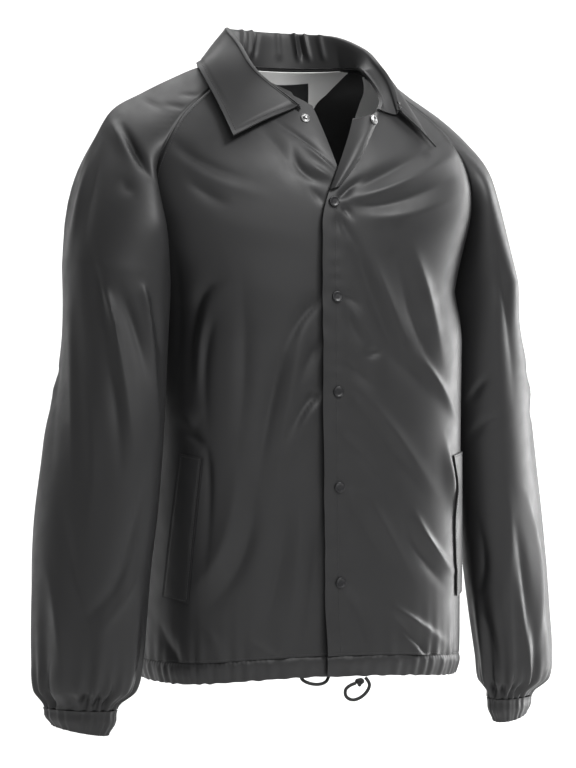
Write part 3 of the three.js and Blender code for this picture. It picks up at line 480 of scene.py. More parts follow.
def arm_section(side, f, z):
    at = look(arm, f)
    angle = np.radians(at["turn"])
    if side == RIGHT:
        centre = join(-at["right_x"], at["right_y"], z)
    else:
        centre = join(at["left_x"], at["left_y"], z)
    ahead = join(-side * np.sin(angle), -np.cos(angle), 0)
    out = join(side * np.cos(angle), -np.sin(angle), 0)
    return centre, ahead, out, at["long"][..., None], at["short"][..., None]


def cap_handles(side, t):
    front, back = seam_point(raglan_front, side, t), seam_point(raglan_back, side, t)
    at, turn = look(shoulders[side], t), look(cap_turns, t)
    top = join(side * at["x"], at["y"], at["z"])
    out = turn["right_out" if side == RIGHT else "left_out"]
    on = turn["right_on" if side == RIGHT else "left_on"]
    dip, dip_back = (front - top)[:, 2] * 0.3, (back - top)[:, 2] * 0.3
    return [
        front,
        front + join(side * out, -on, -dip),
        top + join(0, -turn["top_front"], dip),
        top,
        top + join(0, turn["top_back"], dip_back),
        back + join(side * turn["back_out"], turn["back_on"], -dip_back),
        back,
    ]


def arm_handles(side, f):
    hung = cap_handles(side, np.ones_like(f))
    inner_z = UNDERARM_Z + (CUFF_TOP_Z[side] - UNDERARM_Z) * f
    outer_z = hung[3][:, 2] + (CUFF_TOP_Z[side] - hung[3][:, 2]) * f
    centre, ahead, out, long, short = arm_section(side, f, (inner_z + outer_z) / 2)
    reach = 4 / 3 * long
    inner, outer = centre - out * short, centre + out * short
    inner[:, 2], outer[:, 2] = inner_z, outer_z
    down = join(0, 0, (outer_z - inner_z) * 0.3)
    ring = [
        inner,
        inner + ahead * reach + down,
        outer + ahead * reach - down,
        outer,
        outer - ahead * reach - down,
        inner - ahead * reach + down,
        inner,
    ]
    settle = ease(0, ARM_SETTLES[side], f)[:, None]
    handles = []
    for start, end in zip(hung, ring):
        start = start.copy()
        start[:, 2] = end[:, 2]
        handles.append(start + (end - start) * settle)
    return handles


def sleeve_at(side, u, v):
    v = np.asarray(v, float)
    u = across(u, v)
    cap, low = cap_handles(side, np.minimum(v, 1)), arm_handles(side, np.maximum(v - 1, 0))
    handles = [either(v <= 1, a, b) for a, b in zip(cap, low)]
    front_half = bend(*handles[:4], np.clip(u * 2, 0, 1))
    back_half = bend(*handles[3:], np.clip(u * 2 - 1, 0, 1))
    return np.where(u[..., None] <= 0.5, front_half, back_half)


# %% Lay out the five panels
BESIDE_SEAM = np.array([0.002, 0.006, 0.012])


def spaced(start, stop, count):
    """Even places from start to stop, with a few more beside each end, where the seams lie."""
    span = stop - start
    ends = [start + span * BESIDE_SEAM, stop - span * BESIDE_SEAM]
    return np.unique(np.concatenate([np.linspace(start, stop, count), *ends]))


CAP_V = np.unique(np.concatenate([np.linspace(0, 1, 84), BESIDE_SEAM]))
BODY_V = np.unique(np.concatenate([CAP_V, np.linspace(1, 2, 122), 2 - BESIDE_SEAM]))
ARM_V = np.unique(np.concatenate([CAP_V, np.linspace(1, 1.88, 110), np.linspace(1.88, 2, 28)]))
FRONT_U = spaced(0, 1, 92)
BACK_U = spaced(-1, 1, 150)
SLEEVE_U = spaced(0, 1, 150)

panels = {
    "front_right": front_at(RIGHT, FRONT_U, BODY_V),
    "front_left": front_at(LEFT, FRONT_U, BODY_V),
    "back": back_at(BACK_U, BODY_V),
    "sleeve_right": sleeve_at(RIGHT, SLEEVE_U, ARM_V),
    "sleeve_left": sleeve_at(LEFT, SLEEVE_U, ARM_V),
}
panel_u = {"front_right": FRONT_U, "front_left": FRONT_U, "back": BACK_U}
panel_u |= {"sleeve_right": SLEEVE_U, "sleeve_left": SLEEVE_U}
panel_v = {name: ARM_V if name.startswith("sleeve") else BODY_V for name in panels}
faces_out = {"front_right": -1, "front_left": 1, "back": -1, "sleeve_right": -1, "sleeve_left": 1}
print("points:", {name: grid.shape[:2] for name, grid in panels.items()})


# %% Which way the cloth faces
def grid_normals(grid, facing):
    normals = np.cross(np.gradient(grid, axis=1), np.gradient(grid, axis=0)) * -facing
    return normals / np.maximum(np.linalg.norm(normals, axis=2, keepdims=True), 1e-9)


def shared_normals(grids):
    """Normals that agree where two panels meet at a seam."""
    own = [grid_normals(grid, faces_out[name]).reshape(-1, 3) for name, grid in grids.items()]
    places = np.concatenate([grid.reshape(-1, 3) for grid in grids.values()])
    same = np.unique(np.round(places * 5).astype(int), axis=0, return_inverse=True)[1].ravel()
    summed = np.zeros((same.max() + 1, 3))
    np.add.at(summed, same, np.concatenate(own))
    shared = summed[same]
    shared /= np.maximum(np.linalg.norm(shared, axis=1, keepdims=True), 1e-9)
    split = np.cumsum([len(normals) for normals in own])[:-1]
    return {name: part.reshape(grids[name].shape) for name, part in zip(grids, np.split(shared, split))}


panel_normals = shared_normals(panels)

# %% [markdown]
# ## Creases
#
# Light nylon keeps every pull. It is drawn in at each snap, hangs in long soft folds from the
# chest, and breaks at the elbows. Each crease here is one stroke, drawn in the picture
# of one side: three points, a width, a depth in millimetres (over 0 a ridge, under 0 a trough),
# where along it the fold is deepest, and how far it leans. A stroke lifts the cloth along its
# own normal, and only where the cloth faces that side, so a picture's creases never reach the
# far side of the jacket.

# %% See the cloth from one side
NEAR = CAMERA_DISTANCE / MM


def picture(points, azimuth):
    """Where points in millimetres show in the picture from one side, and which way is towards it."""
    a = math.radians(azimuth)
    right, ahead = np.array([math.cos(a), math.sin(a), 0]), np.array([-math.sin(a), math.cos(a), 0])
    near = NEAR / (NEAR + points @ ahead) * MM / UNIT
    x = BODY_ACROSS + points @ right * near
    y = BODY_UP - (points[..., 2] - BODY_Z / MM) * near
    return x, y, -ahead


# %% Press one list of creases into the cloth
STROKE_STEPS = 16
SHARPNESS = 1.5


def crease_lift(x, y, creases):
    lift = np.zeros_like(x)
    at = np.stack([x, y], axis=-1)
    for x1, y1, x2, y2, x3, y3, width, depth, peak, lean in creases:
        start, middle, end = np.array([[x1, y1], [x2, y2], [x3, y3]], float)
        pull = 2 * middle - (start + end) / 2
        f = np.linspace(0, 1, STROKE_STEPS + 1)[:, None]
        route = (1 - f) ** 2 * start + 2 * f * (1 - f) * pull + f**2 * end
        low, high = route.min(axis=0) - 3 * width, route.max(axis=0) + 3 * width
        near = ((at > low) & (at < high)).all(axis=-1)
        if not near.any():
            continue
        step = np.diff(route, axis=0)
        from_route = at[near][:, None, :] - route[:-1]
        along = np.clip((from_route * step).sum(-1) / (step**2).sum(-1), 0, 1)
        away = from_route - along[..., None] * step
        distance = np.linalg.norm(away, axis=-1)
        row, best = np.arange(len(distance)), distance.argmin(axis=1)
        share = (best + along[row, best]) / STROKE_STEPS
        turn = step[best, 0] * away[row, best, 1] - step[best, 1] * away[row, best, 0]
        spread = width * (1 + lean * np.sign(turn))
        profile = np.exp(-((distance[row, best] / spread) ** SHARPNESS))
        rise = ease(-0.12, max(peak, 0.02), share)
        fall = 1 - ease(min(peak, 0.98), 1.12, share)
        lift[near] += depth * profile * np.where(share < peak, rise, fall)
    return lift


# %% The creases of the right front and left front
# Columns of every row: x1 y1 x2 y2 x3 y3 width depth peak lean
PHOTO_SIDE, BEHIND, RIGHT_SIDE, LEFT_SIDE = -20, 160, -90, 90

creases = {
    ("front_right", PHOTO_SIDE): [
        (172, 141, 205, 164, 256, 182, 7, -4.5, 0.35, 0.2),
        (170, 151, 210, 176, 262, 195, 7, 2.5, 0.4, 0),
        (186, 180, 207, 194, 230, 205, 5, -3, 0.5, 0),
        (272, 119, 302, 140, 333, 165, 3.6, -5, 0.55, 0.2),
        (280, 124, 308, 147, 335, 171, 3.4, 4.5, 0.6, 0),
        (293, 148, 303, 170, 327, 184, 4.5, -4.5, 0.5, 0.2),
        (305, 160, 318, 170, 331, 178, 3.4, 2.6, 0.6, 0),
        (250, 128, 280, 150, 305, 200, 8, -2.2, 0.4, 0),
        (308, 185, 318, 196, 326, 206, 4, -2.4, 0.5, 0),
        (321, 298, 298, 324, 281, 362, 5, -5.5, 0.25, 0.25),
        (284, 352, 271, 405, 253, 502, 7.5, -5.5, 0.4, 0.2),
        (306, 318, 292, 385, 272, 500, 7, 3.2, 0.4, 0),
        (253, 495, 241, 560, 203, 612, 10, -6.5, 0.45, 0.2),
        (236, 470, 222, 545, 190, 590, 9, 4, 0.5, 0),
        (320, 343, 309, 362, 296, 393, 4.4, -3.6, 0.25, 0.2),
        (319, 392, 304, 409, 280, 450, 5, -6.2, 0.25, 0.25),
        (318, 402, 303, 428, 288, 480, 6, 3.2, 0.3, 0),
        (240, 268, 244, 360, 236, 460, 8, -2.6, 0.5, 0),
        (228, 284, 197, 306, 190, 388, 7, -5.5, 0.45, 0.25),
        (214, 320, 204, 364, 208, 436, 5.5, -3.6, 0.4, 0),
        (208, 306, 200, 345, 197, 398, 4.6, 3, 0.5, 0),
        (173, 250, 178, 320, 172, 400, 6, -3, 0.5, 0),
        (183, 408, 188, 420, 196, 428, 9, 3.4, 0.5, 0),
        (181, 430, 192, 436, 204, 446, 4, -3, 0.6, 0),
        (206, 446, 209, 500, 204, 580, 5, -3.4, 0.3, 0.3),
        (284, 500, 276, 580, 250, 650, 9, -4, 0.45, 0),
        (300, 480, 298, 560, 286, 650, 9, 3, 0.5, 0),
        (318, 520, 312, 590, 300, 655, 6, -3.2, 0.4, 0),
        (200, 625, 216, 648, 216, 676, 6, 3, 0.5, 0),
        (158, 618, 170, 650, 190, 672, 6, -4, 0.5, 0),
        (250, 640, 270, 655, 300, 662, 5, 2, 0.5, 0),
    ],
    ("front_left", PHOTO_SIDE): [
        (338, 200, 350, 187, 366, 176, 3.4, -5, 0.3, 0.2),
        (352, 190, 395, 168, 458, 132, 8, -5.2, 0.4, 0.2),
        (346, 199, 400, 183, 462, 150, 6.5, 4, 0.4, 0),
        (348, 203, 400, 200, 463, 170, 7, -4.6, 0.4, 0.2),
        (360, 214, 410, 214, 464, 192, 7, 2.6, 0.5, 0),
        (343, 205, 348, 212, 355, 222, 3, -4, 0.3, 0),
        (338, 210, 347, 232, 362, 252, 4, -3.4, 0.3, 0),
        (352, 240, 369, 285, 398, 362, 7.5, -5, 0.5, 0.25),
        (362, 236, 384, 290, 410, 352, 6.5, 3.4, 0.5, 0),
        (343, 295, 353, 301, 360, 315, 3.2, -4, 0.3, 0),
        (343, 304, 354, 330, 366, 345, 4.2, -3.4, 0.3, 0),
        (349, 300, 362, 326, 374, 342, 4, 2.4, 0.4, 0),
        (343, 356, 359, 374, 376, 390, 5, -3.4, 0.4, 0),
        (364, 357, 373, 353, 383, 350, 4, -3.4, 0.5, 0),
        (374, 298, 398, 350, 434, 398, 8, -4.6, 0.45, 0.2),
        (350, 392, 380, 432, 424, 496, 7, -4.2, 0.3, 0.2),
        (352, 384, 392, 430, 440, 500, 6.5, 3, 0.4, 0),
        (343, 434, 362, 456, 394, 494, 6, -3.6, 0.4, 0),
        (413, 246, 428, 296, 444, 364, 6, 4, 0.5, 0),
        (420, 355, 442, 390, 458, 426, 4, 4, 0.5, 0),
        (398, 262, 414, 320, 436, 372, 6, -3, 0.5, 0),
        (446, 440, 451, 480, 455, 520, 4.5, 6, 0.5, 0.3),
        (414, 510, 434, 548, 456, 574, 4.2, 5.5, 0.55, 0.3),
        (404, 520, 424, 556, 446, 588, 6, -4, 0.5, 0),
        (390, 604, 416, 622, 446, 642, 4.2, 5, 0.55, 0.3),
        (403, 630, 420, 652, 438, 674, 4.2, 5, 0.6, 0.3),
        (396, 616, 414, 640, 430, 664, 5, -4, 0.5, 0),
        (350, 486, 364, 526, 402, 582, 6.5, -4, 0.3, 0.2),
        (362, 490, 386, 530, 420, 590, 6, 2.6, 0.4, 0),
        (348, 590, 362, 620, 372, 655, 6, -3, 0.3, 0),
        (336, 505, 342, 540, 338, 575, 5, -2, 0.5, 0),
    ],
}

# %% The creases of the sleeves
creases |= {
    ("sleeve_right", PHOTO_SIDE): [
        (120, 122, 134, 148, 154, 180, 5.4, -9, 0.55, 0.3),
        (112, 120, 122, 142, 138, 170, 6, 6, 0.4, 0),
        (160, 103, 175, 106, 190, 109, 2.2, -1.6, 0.5, 0),
        (140, 98, 152, 104, 168, 112, 2.6, -1.6, 0.5, 0),
        (176, 94, 190, 95, 206, 96, 2, -1.3, 0.5, 0),
        (98, 142, 79, 200, 66, 276, 4.6, 5, 0.45, 0.3),
        (104, 138, 90, 190, 84, 250, 7, -4, 0.4, 0),
        (92, 148, 72, 205, 60, 280, 6, -3, 0.5, 0),
        (118, 178, 126, 186, 136, 194, 6, -3.4, 0.5, 0),
        (88, 244, 98, 300, 108, 360, 8, -5.5, 0.4, 0.2),
        (104, 350, 116, 410, 120, 480, 8, -5, 0.4, 0.2),
        (102, 288, 116, 330, 134, 452, 4.2, 5, 0.35, 0.3),
        (116, 286, 134, 326, 148, 386, 6.4, -6, 0.4, 0.2),
        (141, 286, 150, 330, 161, 464, 3.8, 5, 0.35, 0.3),
        (150, 290, 158, 330, 164, 390, 4, -4, 0.4, 0),
        (69, 270, 72, 360, 72, 482, 5, 4, 0.5, 0.2),
        (59, 290, 54, 380, 50, 480, 6.5, -3.6, 0.5, 0),
        (84, 380, 92, 450, 86, 540, 8, 3, 0.5, 0),
        (146, 470, 134, 530, 112, 592, 6, -4.4, 0.5, 0.2),
        (136, 540, 112, 590, 80, 622, 5, -3.4, 0.5, 0.2),
        (142, 560, 124, 600, 96, 636, 5, 3, 0.5, 0),
        (62, 500, 70, 570, 92, 640, 7, -3, 0.5, 0),
        (44, 560, 56, 620, 62, 680, 6, 3, 0.5, 0),
    ],
    ("sleeve_left", PHOTO_SIDE): [
        (500, 212, 522, 330, 530, 470, 5, 4.5, 0.5, 0.3),
        (488, 210, 506, 300, 514, 400, 6, -4, 0.5, 0),
        (466, 402, 478, 388, 492, 374, 4, -4.5, 0.4, 0.2),
        (466, 440, 484, 424, 504, 416, 4.5, -3.4, 0.4, 0),
        (526, 490, 541, 565, 540, 650, 3.8, 4, 0.5, 0.3),
        (514, 520, 526, 590, 530, 660, 5, -4, 0.5, 0),
        (478, 520, 484, 570, 470, 600, 5, -3.6, 0.5, 0.2),
        (500, 470, 510, 540, 500, 620, 7, 3, 0.5, 0),
        (476, 610, 492, 640, 500, 690, 5, -3.6, 0.6, 0),
    ],
}

# %% The creases of the hidden sides
creases |= {
    ("back", BEHIND): [
        (190, 150, 236, 190, 270, 290, 9, -6, 0.35, 0.2),
        (406, 148, 352, 200, 330, 310, 9, -6, 0.35, 0.2),
        (206, 170, 250, 220, 262, 330, 8, 4, 0.4, 0),
        (392, 176, 350, 240, 342, 340, 8, 3.6, 0.4, 0),
        (170, 300, 216, 370, 250, 500, 10, -5, 0.45, 0.2),
        (424, 310, 378, 390, 352, 520, 10, -5.4, 0.45, 0.2),
        (300, 330, 292, 430, 304, 540, 10, -4.6, 0.45, 0),
        (322, 300, 326, 420, 318, 560, 9, 3.6, 0.5, 0),
        (262, 420, 258, 520, 240, 620, 8, 4, 0.5, 0.2),
        (366, 450, 372, 540, 390, 640, 8, 4, 0.5, 0.2),
        (190, 520, 204, 590, 200, 660, 7, -4.6, 0.5, 0),
        (410, 520, 400, 600, 406, 664, 7, -4.6, 0.5, 0),
        (284, 560, 280, 620, 268, 668, 6, -3.6, 0.6, 0),
        (336, 570, 344, 620, 352, 668, 6, -3.4, 0.6, 0),
        (240, 110, 296, 122, 352, 110, 8, -3, 0.5, 0.3),
        (250, 240, 300, 262, 350, 246, 8, -2.4, 0.5, 0),
    ],
    ("sleeve_right", RIGHT_SIDE): [
        (250, 120, 262, 200, 250, 300, 8, -5, 0.4, 0.2),
        (300, 130, 292, 220, 300, 320, 8, 4, 0.4, 0),
        (226, 300, 262, 350, 318, 372, 6, -6, 0.45, 0.3),
        (232, 330, 266, 372, 314, 392, 6, 5, 0.45, 0),
        (240, 380, 272, 410, 310, 410, 6, -5, 0.45, 0.3),
        (300, 420, 286, 520, 294, 620, 8, -5, 0.5, 0.2),
        (260, 440, 256, 540, 268, 640, 8, 4, 0.5, 0),
        (316, 480, 312, 560, 318, 640, 7, 3.4, 0.5, 0),
    ],
    ("sleeve_right", BEHIND): [
        (470, 180, 484, 260, 470, 360, 8, -5, 0.4, 0.2),
        (498, 300, 476, 350, 446, 370, 6, -6, 0.45, 0.3),
        (500, 330, 480, 372, 450, 392, 6, 4, 0.45, 0),
        (470, 420, 484, 520, 476, 620, 8, -5, 0.5, 0.2),
        (500, 430, 508, 520, 504, 620, 7, 4, 0.5, 0),
    ],
    ("sleeve_left", LEFT_SIDE): [
        (300, 150, 288, 230, 300, 320, 8, -5, 0.4, 0.2),
        (336, 160, 340, 240, 332, 330, 8, 4, 0.4, 0),
        (352, 310, 318, 352, 270, 372, 6, -6, 0.45, 0.3),
        (350, 334, 316, 380, 272, 400, 6, 5, 0.45, 0),
        (340, 390, 306, 416, 276, 414, 6, -5, 0.45, 0.3),
        (296, 430, 310, 530, 300, 640, 8, -5, 0.5, 0.2),
        (334, 440, 340, 540, 330, 650, 8, 4, 0.5, 0),
    ],
    ("sleeve_left", BEHIND): [
        (112, 190, 98, 280, 112, 370, 8, -5, 0.4, 0.2),
        (84, 320, 108, 362, 140, 382, 6, -6, 0.45, 0.3),
        (82, 350, 106, 392, 138, 410, 6, 4, 0.45, 0),
        (104, 430, 92, 530, 100, 640, 8, -5, 0.5, 0.2),
        (74, 440, 66, 530, 72, 630, 7, 4, 0.5, 0),
    ],
}
print("creases:", sum(len(rows) for rows in creases.values()))

# %% [markdown]
# ## Gathers, puckers and seams
#
# Elastic at the wrists draws each sleeve up into uneven pleats, and the drawstring does the same
# to the hem. Sewing draws the cloth in a little along every seam, so a thin groove with small
# puckers beside it says "sewn". All of them are smooth waves whose strength fades with the
# distance from what causes them.


# %% Small regular forms
def uneven_wave(u, main, other, drift):
    """A wave round the garment with no two folds alike. Whole numbers keep it closed."""
    turn = 2 * math.pi * np.asarray(u)
    bent = turn * main + drift * np.sin(turn * 2 + drift) + 0.6 * drift * np.sin(turn * 5)
    return 0.65 * np.sin(bent) + 0.35 * np.sin(turn * other + drift * 3)


def fade_at_seams(name, u, v):
    """1 on the open cloth and 0 at a seam, so that neighbours still meet."""
    if name == "back":
        return 1 - ease(0.94, 1, np.abs(u))
    if name.startswith("front"):
        return 1 - ease(0.93, 1, u)
    return ease(0, 0.05, u) * (1 - ease(0.95, 1, u))


SEAM_DEPTH, SEAM_WIDTH = 1.1, 1.6
PUCKER_DEPTH, PUCKER_REACH, PUCKER_PITCH = 0.45, 9, 7


def rim_distance(grid):
    """How far each point is from the two side seams, in millimetres along its row."""
    arc = np.cumsum(np.linalg.norm(np.diff(grid, axis=1, prepend=grid[:, :1]), axis=2), axis=1)
    return arc, arc[:, -1:] - arc


def seam_groove(distance, along):
    wave = np.sin(along / PUCKER_PITCH * 2 * math.pi + 2 * np.sin(along / 23))
    puckers = PUCKER_DEPTH * wave * np.exp(-distance / PUCKER_REACH)
    return puckers * ease(0, 3, distance) - SEAM_DEPTH * np.exp(-((distance / SEAM_WIDTH) ** 2))


# %% Gathers above the cuffs and the hem
CUFF_PLEAT, LONG_PLEAT, HEM_PLEAT = 4.2, 3.6, 1


def gather_lift(name, u, v):
    if name.startswith("sleeve"):
        drift = 1.1 if name.endswith("right") else 1.7
        short = CUFF_PLEAT * np.exp(-((2 - v) / 0.07) ** 1.3) * (uneven_wave(u, 17, 23, drift) - 0.5)
        long = LONG_PLEAT * ease(1.66, 1.93, v) * (1 - ease(1.985, 2, v))
        long = long * (uneven_wave(u, 8, 13, drift) - 0.7)
        return short * (1 - 0.6 * ease(1.98, 2, v)) + long
    count = 22 if name == "back" else 11
    return HEM_PLEAT * np.exp(-(2 - v) / 0.05) * uneven_wave(u, count, count + 6, 1.3)


# %% Press every crease into the panels
PLACKET_WIDTH = 17
PLACKET_STITCH_DEPTH = 0.7
SNAP_DOWN, SNAP_PITCH, EDGE_FLUTTER = 128, 112, 1.6

lifts = {}
for name, grid in panels.items():
    u, v = np.meshgrid(panel_u[name], panel_v[name])
    normals = panel_normals[name]
    lift = np.zeros(grid.shape[:2])
    for (piece, azimuth), rows in creases.items():
        if piece == name:
            x, y, towards = picture(grid, azimuth)
            lift += crease_lift(x, y, rows) * ease(0.02, 0.3, normals @ towards)
    lift *= fade_at_seams(name, u, v)
    down = np.cumsum(np.linalg.norm(np.diff(grid, axis=0, prepend=grid[:1]), axis=2), axis=0)
    from_start, from_end = rim_distance(grid)
    if not name.startswith("front"):
        lift += seam_groove(from_start, down)
    lift += seam_groove(from_end, down)
    if name == "front_left":
        stitch = np.exp(-(((from_start - PLACKET_WIDTH) / 1.4) ** 2))
        wave = np.sin(down / 3.1 + 2 * np.sin(down / 17)) * np.exp(-np.abs(from_start - PLACKET_WIDTH) / 6)
        lift -= PLACKET_STITCH_DEPTH * stitch * ease(0.5, 0.6, v)
        lift += 0.4 * wave * ease(0.5, 0.6, v)
        open_edge = 0.5 - 0.5 * np.cos((down - SNAP_DOWN) / SNAP_PITCH * 2 * math.pi)
        flutter = EDGE_FLUTTER * (open_edge + 0.35 * np.sin(down / 9 + 3 * np.sin(down / 41)))
        lift += flutter * np.exp(-from_start / 9) * ease(0.6, 0.75, v)
    lifts[name] = lift + gather_lift(name, u, v)

SHEET_WALL = 1.2
dressed = {name: grid + panel_normals[name] * lifts[name][..., None] for name, grid in panels.items()}
print("deepest fold", round(max(float(np.abs(lift).max()) for lift in lifts.values()), 1), "mm")


# %% Search the finished cloth
def tree_of(grids, facings):
    """A search tree over the outside of some grids of points."""
    corners, faces, start = [], [], 0
    for name, grid in grids.items():
        rows, columns = grid.shape[:2]
        index = start + np.arange(rows * columns).reshape(rows, columns)
        a, b, c, d = index[:-1, :-1], index[1:, :-1], index[1:, 1:], index[:-1, 1:]
        quads = np.stack([a, b, c, d], axis=-1).reshape(-1, 4)
        corners.append(grid.reshape(-1, 3))
        faces.append(quads[:, ::-1] if facings[name] < 0 else quads)
        start += rows * columns
    return BVHTree.FromPolygons(np.concatenate(corners).tolist(), np.concatenate(faces).tolist())


def keep_clear(points, tree, gap, reach=40):
    """Moves points out until they stand at least gap over the cloth."""
    flat = points.reshape(-1, 3).copy()
    for i, p in enumerate(flat):
        spot, normal, _, away = tree.find_nearest(Vector(p), reach)
        if spot is None:
            continue
        height = (Vector(p) - spot).dot(normal)
        if height < 0 or away < gap:
            flat[i] = Vector(p) + normal * (gap - height)
    return flat.reshape(points.shape)


def keep_inside(points, tree, depth):
    flat = points.reshape(-1, 3).copy()
    for i, p in enumerate(flat):
        spot, normal, _, _ = tree.find_nearest(Vector(p))
        height = (Vector(p) - spot).dot(normal)
        if height > -depth:
            flat[i] = Vector(p) + normal * (-depth - height)
    return flat.reshape(points.shape)


# %% The left front laps over the right one
LAP_GAP = SHEET_WALL + 0.6
under = tree_of({"front_right": dressed["front_right"]}, faces_out)
lapped = dressed["front_left"]
near_edge = FRONT_U < 0.2
lapped[:, near_edge] = keep_clear(lapped[:, near_edge], under, LAP_GAP, reach=14)
cloth_tree = tree_of(dressed, faces_out)

# %% [markdown]
# ## Turning a grid of points into cloth
#
# A sheet with no thickness has no edge and looks wrong wherever an opening shows it. So each
# piece is a closed shell: the outside, the same grid moved in by the cloth's thickness, and a
# narrow rim between them. Its flat places on the cloth are kept as UVs, so that the weave runs
# with the threads.


# %% Make a shell
def shell(name, outer, inner, flip, replaces, round_and_closed=False):
    rows, columns = outer.shape[:2]
    index = np.arange(rows * columns).reshape(rows, columns)
    if round_and_closed:
        index = np.hstack([index, index[:, :1]])
    a, b, c, d = index[:-1, :-1], index[1:, :-1], index[1:, 1:], index[:-1, 1:]
    within = rows * columns
    faces = [np.stack([a, b, c, d], -1), np.stack([a, d, c, b], -1) + within]
    top, low = index[0], index[-1]
    faces.append(np.stack([top[:-1], top[1:], top[1:] + within, top[:-1] + within], -1))
    faces.append(np.stack([low[:-1], low[:-1] + within, low[1:] + within, low[1:]], -1))
    if not round_and_closed:
        first, last = index[:, 0], index[:, -1]
        faces.append(np.stack([first[:-1], first[:-1] + within, first[1:] + within, first[1:]], -1))
        faces.append(np.stack([last[:-1], last[1:], last[1:] + within, last[:-1] + within], -1))
    faces = np.concatenate([f.reshape(-1, 4) for f in faces])
    if flip:
        faces = faces[:, ::-1]
    points = np.concatenate([outer.reshape(-1, 3), inner.reshape(-1, 3)]) * MM
    mesh = bpy.data.meshes.new(name)
    mesh.from_pydata(points.tolist(), [], faces.tolist())
    across_arc = np.cumsum(np.linalg.norm(np.diff(outer, axis=1, prepend=outer[:, :1]), axis=2), axis=1)
    down_arc = np.cumsum(np.linalg.norm(np.diff(outer, axis=0, prepend=outer[:1]), axis=2), axis=0)
    flat = np.stack([across_arc, down_arc], -1).reshape(-1, 2) * MM
    flat = np.concatenate([flat, flat])
    corner = np.empty(len(mesh.loops), np.int32)
    mesh.loops.foreach_get("vertex_index", corner)
    mesh.uv_layers.new(name="cloth").data.foreach_set("uv", flat[corner].ravel())
    mesh.polygons.foreach_set("use_smooth", np.ones(len(mesh.polygons), bool))
    mesh.set_sharp_from_angle(angle=math.radians(55))
    mesh.update()
    piece = link(bpy.data.objects.new(name, mesh))
    if replaces:
        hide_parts(replaces)
    return piece


# %% Sew up the five panels
SEAM_HALF_GAP = 0.12


def pull_in_rim(grid):
    """Pulls a panel's rim in by a hair, so that neighbours lie side by side."""
    grid = grid.copy()
    for rim, beside in (((slice(None), 0), (slice(None), 1)), ((slice(None), -1), (slice(None), -2))):
        step = grid[beside] - grid[rim]
        grid[rim] += step / np.maximum(np.linalg.norm(step, axis=-1, keepdims=True), 1e-9) * SEAM_HALF_GAP
    return grid


flat_sizes = {}
pieces = {}
for name, grid in dressed.items():
    normals = grid_normals(grid, faces_out[name])
    for rim in (0, -1):
        normals[:, rim] = panel_normals[name][:, rim]
        normals[rim] = panel_normals[name][rim]
    inner = grid - normals * SHEET_WALL
    turned_over = faces_out[name] < 0
    pieces[name] = shell("cloth_" + name, pull_in_rim(grid), pull_in_rim(inner), turned_over, name)
    across_lengths = np.linalg.norm(np.diff(panels[name], axis=1), axis=2).sum(axis=1)
    down_lengths = np.linalg.norm(np.diff(panels[name], axis=0), axis=2).sum(axis=0)
    sides = np.cross(np.diff(panels[name], axis=0)[:, :-1], np.diff(panels[name], axis=1)[:-1])
    width, length = across_lengths.max() * MM, down_lengths.max() * MM
    area = np.linalg.norm(sides, axis=2).sum() * MM * MM
    flat_sizes[name] = (round(width, 3), round(length, 3), round(min(area, width * length), 4))
print("flat cuts (width, length, area):", flat_sizes)

# %% [markdown]
# ## Hem, cuffs and collar
#
# The hem is a tube of cloth turned up round its drawstring, so it stands a little proud and
# puckers. The cuffs are tubes round elastic, ribbed by the gathers. The collar is two layers
# sewn at the edge and turned, folded over along its top, with one line of stitches near its
# free edge.

# %% Hem casings
HEM_V = 1 + (UNDERARM_Z - HEM_Z) / (UNDERARM_Z - CASING_TOP_Z)
CASING_GAP, CASING_WALL, CASING_ROWS = 0.4, 2.8, 13
CASING_PUFF, CASING_PUCKER, STITCH_DIP = 1.5, 0.9, 1

casing_v = np.linspace(2, HEM_V, CASING_ROWS)
share = np.linspace(0, 1, CASING_ROWS)[:, None]
casing_profile = CASING_PUFF * np.sin(math.pi * share**0.8) - STITCH_DIP * np.exp(-((share / 0.1) ** 2))
casing_plans = {
    "hem_casing_right": (np.linspace(0, 1, 190), lambda u, v: front_at(RIGHT, u, v), -1, 13),
    "hem_casing_left": (np.linspace(0, 1, 190), lambda u, v: front_at(LEFT, u, v), 1, 14),
    "hem_casing_back": (np.linspace(-1, 1, 380), lambda u, v: back_at(u, v), -1, 26),
}
for name, (u, surface, facing, count) in casing_plans.items():
    grid = surface(u, casing_v)
    grid[..., 2] -= CASING_GAP
    normals = grid_normals(grid, facing)
    ripple = uneven_wave(u, count, count + 9, 1.4)[None, :] * CASING_PUCKER * ease(0, 0.35, share)
    fine = 0.3 * np.sin(u * count * 23 + 2 * np.sin(u * 17))[None, :] * (1 - ease(0, 0.3, share))
    outer = grid + normals * (casing_profile + ripple + fine)[..., None]
    outer[..., 2] += (0.8 * uneven_wave(u, count, count + 5, 0.7)[None, :] * ease(0.6, 1, share))
    inner = outer - normals * CASING_WALL
    pieces[name] = shell("cloth_" + name, outer, inner, facing < 0, name)

# %% Elastic cuffs
CUFF_HEIGHT, CUFF_WALL, CUFF_GAP, CUFF_TILT, CUFF_SHORT_SHARE = 25, 2.4, 0.8, 5, 0.6
CUFF_POINTS, CUFF_ROWS = 300, 15
CUFF_RIBS, CUFF_RIB_DEPTH = 21, 1.15
cuff_profile = table("share inset", (0, 0), (0.12, -1.2), (0.5, -2.2), (0.9, -9.6), (1, -10.6))

